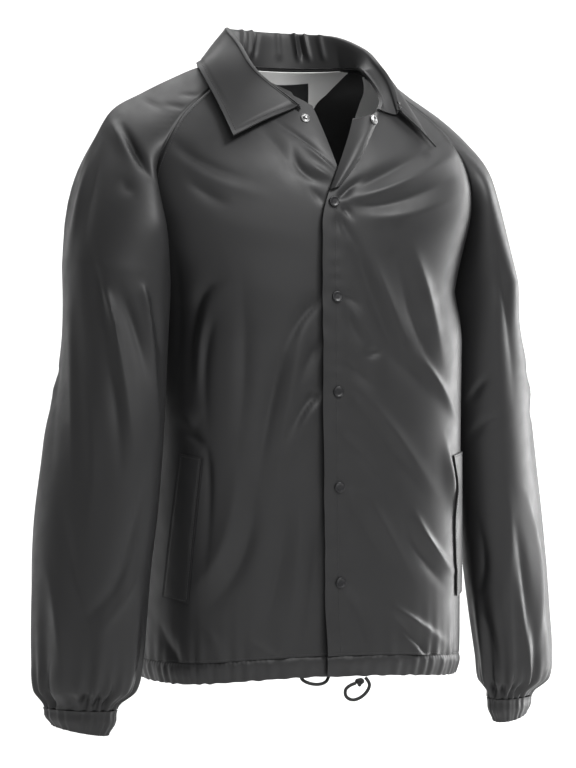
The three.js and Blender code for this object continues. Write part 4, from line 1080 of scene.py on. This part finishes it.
for side, name in ((RIGHT, "cuff_right"), (LEFT, "cuff_left")):
    centre, ahead, out, long, short = arm_section(side, np.ones(1), np.array([CUFF_TOP_Z[side]]))
    share = np.linspace(0, 1, CUFF_ROWS)[:, None]
    turn = np.arange(CUFF_POINTS) / CUFF_POINTS
    angle = turn[None, :] * 2 * math.pi * -side
    ribs = uneven_wave(turn, CUFF_RIBS, CUFF_RIBS + 8, 1.2)[None, :]
    pinch = 1 - 0.35 * np.exp(-(((share - 0.5) / 0.05) ** 2))

    def cuff_layer(grow):
        reach = grow + look(cuff_profile, share[:, 0])["inset"][:, None] + ribs * CUFF_RIB_DEPTH * pinch
        level = CUFF_GAP + share * (CUFF_HEIGHT - CUFF_GAP)
        places = centre + ahead * ((long + reach) * np.cos(angle))[..., None]
        places = places + out * ((short + reach * CUFF_SHORT_SHARE) * np.sin(angle) * -side)[..., None]
        places[..., 2] = centre[0, 2] - level - CUFF_TILT * np.cos(angle) * level / CUFF_HEIGHT
        return places

    cuff_name, inside = "cloth_" + name, cuff_layer(-CUFF_WALL)
    pieces[name] = shell(cuff_name, cuff_layer(0), inside, side == RIGHT, name, round_and_closed=True)


# %% The neckline that carries the collar
COLLAR_FROM_RIGHT, COLLAR_TO_LEFT = 0.3, 0.35


def neckline_point(s):
    if s <= 1:
        return front_at(RIGHT, [COLLAR_FROM_RIGHT + (1 - COLLAR_FROM_RIGHT) * s], [0])[0, 0]
    if s <= 2:
        return sleeve_at(RIGHT, [s - 1], [0])[0, 0]
    if s <= 4:
        return back_at([s - 3], [0])[0, 0]
    if s <= 5:
        return sleeve_at(LEFT, [5 - s], [0])[0, 0]
    return front_at(LEFT, [1 + (COLLAR_TO_LEFT - 1) * (s - 5)], [0])[0, 0]


collar_shape = table(
    "s fold_x fold_y fold_z edge_x edge_y edge_z",
    (0, -30, -85, -53, -115, -101, -93),
    (0.5, -72, -62, -14, -122, -64, -51),
    (1, -83, -26, 23, -131, -20, -6),
    (1.5, -86, 6, 44, -119, 22, 2),
    (2, -70, 44, 49, -98, 70, 2),
    (2.5, -38, 68, 51, -52, 100, -2),
    (3, 0, 76, 51, 0, 110, -2),
    (3.5, 38, 68, 50, 54, 100, -2),
    (4, 69, 44, 45, 98, 70, 0),
    (4.5, 88, 4, 27, 120, 18, -3),
    (5, 94, -26, 6, 116, -36, -27),
    (5.5, 101, -48, -18, 129, -60, -59),
    (6, 103, -72, -54, 144, -87, -97),
)

# %% Fold the collar over
COLLAR_WALL, COLLAR_ROLL, COLLAR_LIFT, COLLAR_INSET, COLLAR_CLEAR = 2, 4.5, 1.2, 1.6, 0.7
COLLAR_ROUND, COLLAR_ACROSS = 230, 62
LIFT_UP = np.array([0, 0, 1.0])


def collar_section(s):
    at = look(collar_shape, np.array([s]))
    fold = np.array([at["fold_x"][0], at["fold_y"][0], at["fold_z"][0]])
    edge = np.array([at["edge_x"][0], at["edge_y"][0], at["edge_z"][0]])
    out = np.array([edge[0] - fold[0], edge[1] - fold[1], 0])
    out /= np.linalg.norm(out)
    start = neckline_point(s) - out * COLLAR_INSET + LIFT_UP * COLLAR_LIFT
    low = fold - out * COLLAR_ROLL - LIFT_UP * COLLAR_ROLL
    over = fold + out * COLLAR_ROLL - LIFT_UP * COLLAR_ROLL * 0.8
    halfway = (over + edge) / 2 + LIFT_UP * 1.5
    crest = [fold - out * COLLAR_ROLL / 2, fold + out * COLLAR_ROLL / 2]
    anchors = [start, (start + low) / 2, low, *crest, over, halfway, edge]
    return line_through(anchors, COLLAR_ACROSS)


collar_s = np.linspace(0, 6, COLLAR_ROUND)
collar = np.stack([collar_section(s) for s in collar_s])
collar[:, 1:] = keep_clear(collar[:, 1:], cloth_tree, COLLAR_CLEAR + COLLAR_WALL + 0.3)
print("collar", collar.shape[:2])

# %% Wrinkle and topstitch the collar
EDGE_STITCH, EDGE_RIDGE = 6, 0.9
band_wrinkles = table(
    "s depth width",
    (2.3, -2.4, 0.05),
    (2.52, -3.2, 0.045),
    (2.64, 1.8, 0.04),
    (3.02, -1.4, 0.05),
    (3.3, -3, 0.035),
    (3.38, 2.4, 0.03),
    (3.47, -2.6, 0.035),
    (3.72, -2, 0.05),
)
collar_normals = grid_normals(collar, 1)
from_edge = rim_distance(collar[:, ::-1])[0][:, ::-1]
end_gap = np.minimum(*rim_distance(collar.transpose(1, 0, 2))).T
to_rim = np.minimum(from_edge, end_gap)
section_share = np.linspace(0, 1, COLLAR_ACROSS)[None, :]
on_leaf = ease(0.62, 0.7, section_share)
collar_lift = -EDGE_RIDGE * np.exp(-(((to_rim - EDGE_STITCH) / 1.3) ** 2)) * on_leaf
collar_lift = collar_lift + 0.5 * np.exp(-((to_rim / 3.2) ** 2)) * on_leaf
on_band = ease(0.04, 0.14, section_share) * (1 - ease(0.36, 0.5, section_share))
for s, depth, width in band_wrinkles[1]:
    slant = s + 0.06 * (section_share - 0.25) * np.sign(depth)
    collar_lift = collar_lift - depth * np.exp(-(((collar_s[:, None] - slant) / width) ** 2)) * on_band
crumple = uneven_wave(collar_s / 6, 61, 83, 1.5)[:, None] * ease(5.75, 5.95, collar_s)[:, None]
on_fold = ease(0.4, 0.5, section_share) * (1 - ease(0.7, 0.9, section_share))
collar_lift = collar_lift + 0.7 * crumple * on_fold
collar = collar + collar_normals * collar_lift[..., None]
collar_under = collar - grid_normals(collar, 1) * COLLAR_WALL
collar_under = keep_clear(collar_under, cloth_tree, COLLAR_CLEAR)
pieces["collar"] = shell("cloth_collar", collar, collar_under, False, "collar")

# %% [markdown]
# ## What is laid on the panels
#
# The turned-back strip is the facing of the left front. The welts are folded strips over the
# pocket mouths. The pale lining and its blank patch lie inside the back of the neck. The lining
# is cut off along the edge of the shade inside the neck, so the dark shell shows there as painted
# shade. Each is made from points on the panel that carries it, moved off the finished cloth by a
# search for the nearest place on it.


# %% Places on a front, with its normal
def on_front(side, u, v, height):
    step = 0.01
    place = front_at(side, u, v)
    across_step = front_at(side, np.asarray(u) + step, v) - place
    down_step = front_at(side, u, np.asarray(v) + step) - place
    normal = np.cross(across_step, down_step) * -side
    normal /= np.maximum(np.linalg.norm(normal, axis=-1, keepdims=True), 1e-9)
    return place + normal * height


# %% The turned-back facing
TURNED_WALL, TURNED_LIFT, TURNED_CLEAR = 2.0, 3.5, 0.8
turned_strip = table(
    "v reach", (0.02, 0.32), (0.1, 0.38), (0.18, 0.41), (0.26, 0.31), (0.36, 0.2), (0.44, 0.12), (0.51, 0.06)
)
strip_v = np.linspace(0.02, 0.51, 74)
strip_share = np.linspace(0, 1, 30)
strip_u = look(turned_strip, strip_v)["reach"][:, None] * strip_share[None, :]
strip_height = (TURNED_LIFT * np.sin(math.pi * strip_share))[None, :, None]


def turned_layer(height):
    grid = on_front(LEFT, strip_u, strip_v, strip_height + height)
    return keep_clear(grid, cloth_tree, height)


facing_grid = turned_layer(TURNED_CLEAR + TURNED_WALL)
facing_under = turned_layer(TURNED_CLEAR)
pieces["facing_left"] = shell("cloth_facing_left", facing_grid, facing_under, False, "facing_left")

# %% Pocket welts
WELT_WALL, WELT_LIFT, WELT_STITCH, WELT_CREASE = 1.6, 1, 2.6, 0.22
welt_shape = table(
    "row near far near_v far_v",
    (0, 0.571, 0.716, 1.462, 1.452),
    (1, 0.632, 0.807, 1.844, 1.831),
)
welt_rows, welt_columns = np.linspace(0, 1, 90), np.linspace(0, 1, 26)


def welt_layer(side, height):
    at = look(welt_shape, welt_rows)
    u = at["near"][:, None] + (at["far"] - at["near"])[:, None] * welt_columns
    v = at["near_v"][:, None] + (at["far_v"] - at["near_v"])[:, None] * welt_columns
    strips = [on_front(side, u[:, i : i + 1], v[:, i], height)[:, 0] for i in range(len(welt_columns))]
    return keep_clear(np.stack(strips, axis=1), cloth_tree, height)


welt_tops = {}
for side, name in ((RIGHT, "welt_right"), (LEFT, "welt_left")):
    top = welt_layer(side, WELT_LIFT + WELT_WALL)
    near, far = rim_distance(top)
    high, low = rim_distance(top.transpose(1, 0, 2))
    rim = np.minimum(np.minimum(near, far), np.minimum(high, low).T)
    crease = uneven_wave((near + high.T) / 400, 9, 14, 1.2) * WELT_CREASE * ease(0, 9, rim)
    stitched = -0.6 * np.exp(-(((rim - WELT_STITCH) / 0.9) ** 2))
    top = top + grid_normals(top, 1 if side == LEFT else -1) * (crease + stitched)[..., None]
    pieces[name] = shell("cloth_" + name, top, welt_layer(side, WELT_LIFT), side == RIGHT, name)
    welt_tops[name] = top


# %% Lining and patch
def inside_back(name, new_name, depth, wall, u, v, slot):
    """A strip hung inside the back, from a grid of places on it."""
    step = 0.01
    grid = np.stack([back_at(u[:, i : i + 1], v[:, i])[:, 0] for i in range(u.shape[1])], axis=1)
    beside = np.stack([back_at(u[:, i : i + 1] + step, v[:, i])[:, 0] for i in range(u.shape[1])], axis=1)
    below = np.stack([back_at(u[:, i : i + 1], v[:, i] + step)[:, 0] for i in range(u.shape[1])], axis=1)
    normals = np.cross(beside - grid, below - grid)
    normals /= np.maximum(np.linalg.norm(normals, axis=-1, keepdims=True), 1e-9)
    outer, inner = (keep_inside(grid - normals * d, cloth_tree, d) for d in (depth, depth + wall))
    return shell(new_name, outer, inner, True, name)


LINING_DEPTH, LINING_WALL, PATCH_LIFT, PATCH_WALL = SHEET_WALL + 0.8, 1, 1.1, 0.8
# Painted shade: the back lining ends along the edge of the shade inside the neck, and the left piece starts
# at it, so the dark shell shows where the lining lies in shade.
lining_shade_edge = table("u v", (-0.8, 0.34), (0.28, 0.36), (0.34, 0.26), (0.5, 0.2), (0.75, 0.13), (0.95, 0.07))
lining_left_shade_edge = table("v u", (0.16, 0.97), (0.25, 0.82), (0.3, 0.71), (0.37, 0.6), (0.46, 0.62))

a, b = np.meshgrid(np.linspace(-0.8, 0.95, 90), np.linspace(0, 1, 24))
v = 0.015 + (look(lining_shade_edge, a)["v"] - 0.015) * b
under_back = (LINING_DEPTH, LINING_WALL)
pieces["lining_back"] = inside_back("lining_back", "lining_back_cloth", *under_back, a, v, "lining")
share, v = np.meshgrid(np.linspace(0, 1, 20), np.linspace(0.16, 0.46, 34))
start = look(lining_left_shade_edge, v)["u"]
u = start + (0.985 - start) * share
pieces["lining_left"] = inside_back("lining_left", "lining_left_cloth", *under_back, u, v, "lining")
share, b = np.meshgrid(np.linspace(-1, 1, 40), np.linspace(0, 1, 24))
u, v = share * (0.36 - 0.11 * b), 0.11 + 0.23 * b
patch_depth = LINING_DEPTH + LINING_WALL + PATCH_LIFT
pieces["neck_patch"] = inside_back("neck_patch", "blank_patch", patch_depth, PATCH_WALL, u, v, "patch")

# %% [markdown]
# ## Stitches
#
# Every seam that shows is topstitched: the raglan seams, the front strip, the casing, and the
# rims of the collar and of each welt. A stitch is a short thread that dips at both ends, so each
# is one small closed capsule. The rows follow the finished cloth at a set distance from an edge,
# so they ride over its folds.

# %% Sew one row of stitches
STITCH_PITCH, STITCH_LENGTH, STITCH_RADIUS, STITCH_RISE, STITCH_SIDES = 3.2, 2.3, 0.3, 0.12, 5
stitch_points, stitch_faces = [], []
stitch_rings = table("along thick", (0, 0.35), (0.2, 1), (0.8, 1), (1, 0.35))[1]


def beside(grid, from_edge, distance):
    """The line that lies one distance from the edge of a grid, read along each of its rows."""
    return np.array(
        [[np.interp(distance, gone, row[:, k]) for k in range(3)] for row, gone in zip(grid, from_edge)]
    )


def sew(route, normals):
    gone = np.append(0, np.cumsum(np.linalg.norm(np.diff(route, axis=0), axis=1)))
    first = np.arange(0.4, gone[-1] - STITCH_LENGTH, STITCH_PITCH)
    starts, ends, ups = (
        np.stack([np.interp(at, gone, line[:, k]) for k in range(3)], -1)
        for at, line in ((first, route), (first + STITCH_LENGTH, route), (first + STITCH_LENGTH / 2, normals))
    )
    along = (ends - starts) / np.linalg.norm(ends - starts, axis=1, keepdims=True)
    ups /= np.linalg.norm(ups, axis=1, keepdims=True)
    sides = np.cross(along, ups)
    for start, end, up, side in zip(starts, ends, ups, sides):
        base = len(stitch_points)
        for share, thick in stitch_rings:
            middle_at = start + (end - start) * share + up * STITCH_RISE * thick
            for k in range(STITCH_SIDES):
                angle = k / STITCH_SIDES * 2 * math.pi
                reach = math.cos(angle) * up + math.sin(angle) * side
                stitch_points.append(middle_at + STITCH_RADIUS * thick * reach)
        for ring in range(len(stitch_rings) - 1):
            for k in range(STITCH_SIDES):
                a, b = base + ring * STITCH_SIDES + k, base + ring * STITCH_SIDES + (k + 1) % STITCH_SIDES
                stitch_faces.append((a, a + STITCH_SIDES, b + STITCH_SIDES, b))
        stitch_faces.append(tuple(base + k for k in range(STITCH_SIDES)))
        last = base + (len(stitch_rings) - 1) * STITCH_SIDES
        stitch_faces.append(tuple(last + k for k in reversed(range(STITCH_SIDES))))


def sew_beside(grid, normals, from_edge, distance, rows=slice(None)):
    sew(beside(grid[rows], from_edge[rows], distance), beside(normals[rows], from_edge[rows], distance))


# %% Sew the panels
SEAM_STITCH, CASING_STITCH = 5, 2.5

for name, grid in dressed.items():
    normals = panel_normals[name]
    from_start, from_end = rim_distance(panels[name])
    if name == "front_left":
        sew_beside(grid, normals, from_start, PLACKET_WIDTH, BODY_V > 0.55)
    if not name.startswith("sleeve"):
        sew_beside(grid[:, ::-1], normals[:, ::-1], from_end[:, ::-1], SEAM_STITCH, BODY_V < 0.97)
        up_from_hem = rim_distance(panels[name].transpose(1, 0, 2))[1]
        upward, facing_up = (lines[::-1].transpose(1, 0, 2) for lines in (grid, normals))
        sew_beside(upward, facing_up, up_from_hem[:, ::-1], CASING_STITCH)
    if name == "back":
        sew_beside(grid, normals, from_start, SEAM_STITCH, BODY_V < 0.97)

# %% Sew the rims of the collar and the welts
from_fold, leaf = from_edge[:, ::-1], slice(2, -2)
sew_beside(collar[:, ::-1], collar_normals[:, ::-1], from_fold, EDGE_STITCH, leaf)
leaf_columns = slice(int(COLLAR_ACROSS * 0.68), COLLAR_ACROSS - 6)
for ends in (1, -1):
    turned, lined = (lines[::ends, leaf_columns].transpose(1, 0, 2) for lines in (collar, collar_normals))
    sew_beside(turned, lined, rim_distance(turned)[0], EDGE_STITCH)


def sew_rim(grid, facing, distance):
    """Four rows round the rim of a small piece."""
    normals = grid_normals(grid, facing)
    for turned, lined in ((grid, normals), (grid.transpose(1, 0, 2), normals.transpose(1, 0, 2))):
        for step in (1, -1):
            spread, raised = turned[:, ::step], lined[:, ::step]
            sew_beside(spread, raised, rim_distance(spread)[0], distance, slice(2, -2))


for side, name in ((RIGHT, "welt_right"), (LEFT, "welt_left")):
    sew_rim(welt_tops[name], 1 if side == LEFT else -1, WELT_STITCH)

stitch_mesh = bpy.data.meshes.new("stitches")
stitch_mesh.from_pydata((np.array(stitch_points) * MM).tolist(), [], stitch_faces)
stitch_mesh.polygons.foreach_set("use_smooth", np.ones(len(stitch_mesh.polygons), bool))
stitches = link(bpy.data.objects.new("stitches", stitch_mesh))
print("stitches:", len(stitch_points) // (STITCH_SIDES * len(stitch_rings)))

# %% [markdown]
# ## Snaps and the knot
#
# Each snap is a small turned piece, so one outline spun round its axis makes it. The caps are
# black enamel with a raised rim. The open top snap shows bare nickel: its stud on the right front
# and its socket on the turned-back facing.

# %% Spin a small piece and seat it on the cloth
SPIN_SIDES = 40


def turned_piece(name, outline, node, tree, lift):
    low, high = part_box(node)
    middle_mm = (Vector(low) + Vector(high)) / 2 / MM
    spot, normal, _, _ = tree.find_nearest(middle_mm)
    angle = np.arange(SPIN_SIDES) / SPIN_SIDES * 2 * math.pi
    radius, height = np.array(outline, float).T
    wide, high = radius[1:-1, None], np.tile(height[1:-1, None], SPIN_SIDES)
    rings = np.stack([wide * np.cos(angle), wide * np.sin(angle), high], -1)
    points = np.vstack([rings.reshape(-1, 3), [[0, 0, height[0]], [0, 0, height[-1]]]])
    count = len(rings)
    index = np.arange(count * SPIN_SIDES).reshape(count, SPIN_SIDES)
    index = np.hstack([index, index[:, :1]])
    a, b, c, d = index[:-1, :-1], index[:-1, 1:], index[1:, 1:], index[1:, :-1]
    faces = np.stack([a, b, c, d], -1).reshape(-1, 4).tolist()
    first, last = count * SPIN_SIDES, count * SPIN_SIDES + 1
    faces += [[first, index[0, i + 1], index[0, i]] for i in range(SPIN_SIDES)]
    faces += [[last, index[-1, i], index[-1, i + 1]] for i in range(SPIN_SIDES)]
    turn = Vector((0, 0, 1)).rotation_difference(normal).to_matrix()
    places = [(turn @ Vector(p) + spot + normal * lift) * MM for p in points]
    mesh = bpy.data.meshes.new(name)
    mesh.from_pydata(places, [], [[int(i) for i in face] for face in faces])
    mesh.polygons.foreach_set("use_smooth", np.ones(len(mesh.polygons), bool))
    mesh.set_sharp_from_angle(angle=math.radians(50))
    piece = link(bpy.data.objects.new(name, mesh))
    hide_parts(node)
    return piece


# %% The snaps
SNAP_SEAT = 0.3
cap_outline = [(0, 0), (5.9, 0), (6.4, 0.4), (6.5, 1.1), (6.1, 1.9), (5.4, 2.2), (4.8, 2.1)]
cap_outline += [(4.2, 1.7), (2, 1.75), (0, 1.8)]
stud_outline = [(0, 0), (5.4, 0), (5.7, 0.4), (5.5, 1), (4.9, 1.2), (4.3, 0.7), (2.9, 0.7)]
stud_outline += [(2.4, 1.2), (2.1, 2.4), (2.3, 3.2), (1.6, 3.6), (0, 3.7)]
socket_outline = [(0, 0), (5.8, 0), (6.1, 0.6), (5.8, 1.4), (5, 1.9), (4.2, 1.8), (3.4, 1.2)]
socket_outline += [(2.6, 0.8), (0, 0.7)]
facing_tree = tree_of({"facing": facing_grid}, {"facing": 1})
snaps = [
    turned_piece(f"snap_{i}", cap_outline, f"snap_cap_{i}", cloth_tree, SNAP_SEAT)
    for i in range(1, 6)
]
stud = turned_piece("open_stud", stud_outline, "snap_stud", cloth_tree, SNAP_SEAT)
socket = turned_piece("open_socket", socket_outline, "snap_socket", facing_tree, SNAP_SEAT)

# %% Tie the knot
KNOT_POINTS, KNOT_SCALE, KNOT_STRAND = 60, 1.25, 1.9
knot_low, knot_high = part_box("cord_knot")
knot_middle = (np.array(knot_low) + np.array(knot_high)) / 2
turn = np.arange(KNOT_POINTS) / KNOT_POINTS * 2 * math.pi
loops = [np.sin(turn) + 2 * np.sin(2 * turn), np.cos(turn) - 2 * np.cos(2 * turn), -1.6 * np.sin(3 * turn)]
loops = np.stack(loops, -1)
knot_places = knot_middle + loops[:, [0, 2, 1]] * KNOT_SCALE * MM
drawstring_knot = round_strand("drawstring_knot", knot_places, KNOT_STRAND * MM, closed=True)
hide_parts("cord_knot")

# %% [markdown]
# ## Finishes
#
# Satin nylon is close to black. Its smooth floats throw a soft wide shine, so it reads as mid
# grey where the light is and as black in the folds. The weave runs with the cloth's own threads,
# from its UVs, and is fine enough to show only close up. The lining is a matt pale weave, the
# cord a matt braid, and the snaps are enamel and nickel.


# %% Build a finish from nodes
def finish(name, colour, roughness, metallic=0.0):
    material = bpy.data.materials.new(name)
    material.use_nodes = True
    nodes, links = material.node_tree.nodes, material.node_tree.links
    surface = nodes["Principled BSDF"]
    surface.inputs["Base Color"].default_value = (*colour, 1)
    surface.inputs["Roughness"].default_value = roughness
    surface.inputs["Metallic"].default_value = metallic
    return material, nodes, links, surface


def vary(nodes, links, vector, scale, low, high, detail=3.0):
    """A slow unevenness between two values."""
    noise = nodes.new("ShaderNodeTexNoise")
    noise.inputs["Scale"].default_value = scale
    noise.inputs["Detail"].default_value = detail
    spread = nodes.new("ShaderNodeMapRange")
    spread.inputs["To Min"].default_value = low
    spread.inputs["To Max"].default_value = high
    spread.inputs["From Min"].default_value = 0.3
    spread.inputs["From Max"].default_value = 0.7
    links.new(vector, noise.inputs["Vector"])
    links.new(noise.outputs["Fac"], spread.inputs["Value"])
    return spread.outputs["Result"]


def weave_bump(nodes, links, vector, pitch, distance, strength):
    """Threads over and under, as two crossed waves."""
    waves = []
    for direction in ("X", "Y"):
        wave = nodes.new("ShaderNodeTexWave")
        wave.bands_direction = direction
        wave.inputs["Scale"].default_value = math.pi / (10 * pitch)
        links.new(vector, wave.inputs["Vector"])
        waves.append(wave)
    both = nodes.new("ShaderNodeMath")
    both.operation = "MAXIMUM"
    links.new(waves[0].outputs["Fac"], both.inputs[0])
    links.new(waves[1].outputs["Fac"], both.inputs[1])
    bump = nodes.new("ShaderNodeBump")
    bump.inputs["Distance"].default_value = distance
    bump.inputs["Strength"].default_value = strength
    links.new(both.outputs["Value"], bump.inputs["Height"])
    return bump.outputs["Normal"]


# %% Satin nylon
NYLON_COLOUR, NYLON_ROUGHNESS = (0.014, 0.014, 0.0145), 0.48
nylon, nodes, links, surface = finish("satin_nylon", NYLON_COLOUR, NYLON_ROUGHNESS)
surface.inputs["Specular IOR Level"].default_value = 0.32
cloth_place = nodes.new("ShaderNodeTexCoord").outputs["UV"]
links.new(vary(nodes, links, cloth_place, 45, 0.44, 0.53), surface.inputs["Roughness"])
links.new(weave_bump(nodes, links, cloth_place, 0.0006, 0.00003, 0.25), surface.inputs["Normal"])

# %% Lining and patch
lining, nodes, links, surface = finish("pale_lining", (0.82, 0.82, 0.81), 0.8)
cloth_place = nodes.new("ShaderNodeTexCoord").outputs["UV"]
links.new(weave_bump(nodes, links, cloth_place, 0.0008, 0.00006, 0.5), surface.inputs["Normal"])
links.new(vary(nodes, links, cloth_place, 60, 0.72, 0.86), surface.inputs["Roughness"])
patch, nodes, links, surface = finish("dark_patch", (0.009, 0.009, 0.01), 0.7)
cloth_place = nodes.new("ShaderNodeTexCoord").outputs["UV"]
links.new(weave_bump(nodes, links, cloth_place, 0.0007, 0.00006, 0.5), surface.inputs["Normal"])
links.new(vary(nodes, links, cloth_place, 80, 0.62, 0.76), surface.inputs["Roughness"])

# %% Cord and metal
cord, nodes, links, surface = finish("braided_cord", (0.008, 0.008, 0.008), 0.75)
place = nodes.new("ShaderNodeTexCoord").outputs["Object"]
links.new(vary(nodes, links, place, 900, 0.65, 0.85, 1.0), surface.inputs["Roughness"])
braid = nodes.new("ShaderNodeTexVoronoi")
braid.inputs["Scale"].default_value = 1100
links.new(place, braid.inputs["Vector"])
bump = nodes.new("ShaderNodeBump")
bump.inputs["Distance"].default_value = 0.0003
bump.inputs["Strength"].default_value = 0.6
links.new(braid.outputs["Distance"], bump.inputs["Height"])
links.new(bump.outputs["Normal"], surface.inputs["Normal"])
enamel, nodes, links, surface = finish("black_enamel", (0.006, 0.006, 0.007), 0.35)
surface.inputs["Specular IOR Level"].default_value = 0.4
place = nodes.new("ShaderNodeTexCoord").outputs["Object"]
links.new(vary(nodes, links, place, 500, 0.28, 0.42), surface.inputs["Roughness"])
nickel, nodes, links, surface = finish("bright_nickel", (0.2, 0.2, 0.2), 0.3, 1.0)
place = nodes.new("ShaderNodeTexCoord").outputs["Object"]
links.new(vary(nodes, links, place, 700, 0.24, 0.4), surface.inputs["Roughness"])

thread, nodes, links, surface = finish("black_thread", (0.02, 0.02, 0.021), 0.6)
place = nodes.new("ShaderNodeTexCoord").outputs["Object"]
links.new(vary(nodes, links, place, 700, 0.5, 0.7), surface.inputs["Roughness"])

# %% Dress every piece
finishes = {"lining_back": lining, "lining_left": lining, "neck_patch": patch}
for name, piece in pieces.items():
    piece.data.materials.append(finishes.get(name, nylon))
for piece in snaps:
    piece.data.materials.append(enamel)
stitches.data.materials.append(thread)
for piece in (stud, socket):
    piece.data.materials.append(nickel)
for piece in (drawstring_right, drawstring_left, drawstring_knot):
    piece.data.materials.append(cord)

# %% Print the flat cut of each piece of cloth
sheets = {
    "front_right": ("hung", ["sleeve_right", "collar"]),
    "front_left": ("hung", ["sleeve_left", "collar"]),
    "back": ("hung", ["sleeve_right", "sleeve_left", "collar"]),
    "sleeve_right": ("hung", ["front_right", "back"]),
    "sleeve_left": ("hung", ["front_left", "back"]),
    "hem_casing_right": ("gathered", ["front_right"]),
    "hem_casing_left": ("gathered", ["front_left"]),
    "hem_casing_back": ("gathered", ["back"]),
    "cuff_right": ("gathered", ["sleeve_right"]),
    "cuff_left": ("gathered", ["sleeve_left"]),
    "collar": ("folded", ["back", "front_right", "front_left"]),
    "facing_left": ("folded", ["front_left"]),
    "welt_right": ("laid", ["front_right"]),
    "welt_left": ("laid", ["front_left"]),
    "lining_back": ("hung", ["back"]),
    "lining_left": ("hung", ["back"]),
    "neck_patch": ("laid", ["lining_back"]),
}


def flat_cut(piece):
    """The size that a piece has when its cloth lies flat, from its places on the cloth."""
    places = np.empty(len(piece.data.loops) * 2, np.float32)
    piece.data.uv_layers["cloth"].data.foreach_get("uv", places)
    width, length = places.reshape(-1, 2).max(axis=0)
    areas = np.empty(len(piece.data.polygons), np.float32)
    piece.data.polygons.foreach_get("area", areas)
    return round(float(width), 3), round(float(length), 3), float(areas.sum()) / 2


for name, (held, rests) in sheets.items():
    width, length, area = flat_sizes[name] if name in flat_sizes else flat_cut(pieces[name])
    area = round(min(area, width * length), 5)
    print(name, "cut", width, "by", length, "m, area", area)

# %% [markdown]
# ## Floor and light
#
# A pale sweep curves up behind the jacket, so there is no corner to see. Its paper shows on one
# side only, so that the back of the jacket can be seen through it. A large soft light over
# the camera gives the even grey of the front. A tall narrow light from behind, on the right of
# the picture, draws the bright edges down the left side and sleeve, and a weak one does the same
# on the other side. A small light over the neck shows the lining, and one light whitens the sweep.

# %% A pale sweep
FLOOR_Z, SWEEP_BACK, SWEEP_RADIUS, SWEEP_HEIGHT, SWEEP_HALF = -0.95, 1.1, 0.7, 3.0, 4.0
bend_angle = np.linspace(0, math.pi / 2, 14)
sweep_line = [(-5.0, FLOOR_Z)]
sweep_line += [
    (SWEEP_BACK + SWEEP_RADIUS * math.sin(a), FLOOR_Z + SWEEP_RADIUS * (1 - math.cos(a))) for a in bend_angle
]
sweep_line += [(SWEEP_BACK + SWEEP_RADIUS, FLOOR_Z + SWEEP_HEIGHT)]
corners = [
    tuple(-view_back * back + view_right * across_by + Vector((0, 0, z)))
    for back, z in sweep_line
    for across_by in (-SWEEP_HALF, SWEEP_HALF)
]
sweep_mesh = bpy.data.meshes.new("sweep")
sweep_faces = [(2 * i, 2 * i + 1, 2 * i + 3, 2 * i + 2) for i in range(len(sweep_line) - 1)]
sweep_mesh.from_pydata(corners, [], sweep_faces)
print("the floor faces up:", sweep_mesh.polygons[0].normal.z > 0)
sweep_mesh.polygons.foreach_set("use_smooth", np.ones(len(sweep_mesh.polygons), bool))
sweep = bpy.data.objects.new("sweep", sweep_mesh)
bpy.context.scene.collection.objects.link(sweep)
paper, nodes, links, surface = finish("white_paper", (0.86, 0.86, 0.86), 0.9)
place = nodes.new("ShaderNodeTexCoord").outputs["Object"]
links.new(vary(nodes, links, place, 3, 0.86, 0.94), surface.inputs["Roughness"])
seen_from = nodes.new("ShaderNodeNewGeometry").outputs["Backfacing"]
clear, one_sided = nodes.new("ShaderNodeBsdfTransparent"), nodes.new("ShaderNodeMixShader")
links.new(seen_from, one_sided.inputs["Fac"])
links.new(surface.outputs["BSDF"], one_sided.inputs[1])
links.new(clear.outputs["BSDF"], one_sided.inputs[2])
links.new(one_sided.outputs["Shader"], nodes["Material Output"].inputs["Surface"])
sweep_mesh.materials.append(paper)


# %% Soft lights
def soft_light(name, across_by, towards, up, width, height, power):
    """A square light, placed in metres across, towards the camera and up, facing the jacket."""
    lamp = bpy.data.lights.new(name, "AREA")
    lamp.shape = "RECTANGLE"
    lamp.size, lamp.size_y, lamp.energy = width, height, power
    light = bpy.data.objects.new(name, lamp)
    bpy.context.scene.collection.objects.link(light)
    light.location = view_right * across_by + view_back * towards + Vector((0, 0, BODY_Z + up))
    aim = Vector((0, 0, BODY_Z)) - light.location
    light.rotation_euler = aim.to_track_quat("-Z", "Y").to_euler()
    return light


soft_light("key_light", 0.8, 2.6, 1.5, 1.8, 1.4, 26)
soft_light("edge_light", 1.5, -0.85, 0.1, 0.5, 2.0, 58)
soft_light("left_edge_light", -1.8, -0.6, 0.2, 0.3, 1.8, 4)
soft_light("neck_light", 0.8, 0.8, 1.2, 0.4, 0.4, 22)
soft_light("sweep_light", 0, -0.6, 1.9, 2.4, 0.8, 34)

world = bpy.data.worlds.new("studio")
bpy.context.scene.world = world
world.use_nodes = True
sky, sky_links = world.node_tree.nodes, world.node_tree.links
lit = sky["Background"]
lit.inputs["Color"].default_value = (1, 1, 1, 1)
lit.inputs["Strength"].default_value = 0.46
white = sky.new("ShaderNodeBackground")
white.inputs["Color"].default_value = (1, 1, 1, 1)
white.inputs["Strength"].default_value = 1
ray = sky.new("ShaderNodeLightPath")
either_sky = sky.new("ShaderNodeMixShader")
sky_links.new(ray.outputs["Is Camera Ray"], either_sky.inputs["Fac"])
sky_links.new(lit.outputs["Background"], either_sky.inputs[1])
sky_links.new(white.outputs["Background"], either_sky.inputs[2])
sky_links.new(either_sky.outputs["Shader"], sky["World Output"].inputs["Surface"])
bpy.context.scene.view_settings.view_transform = "Standard"
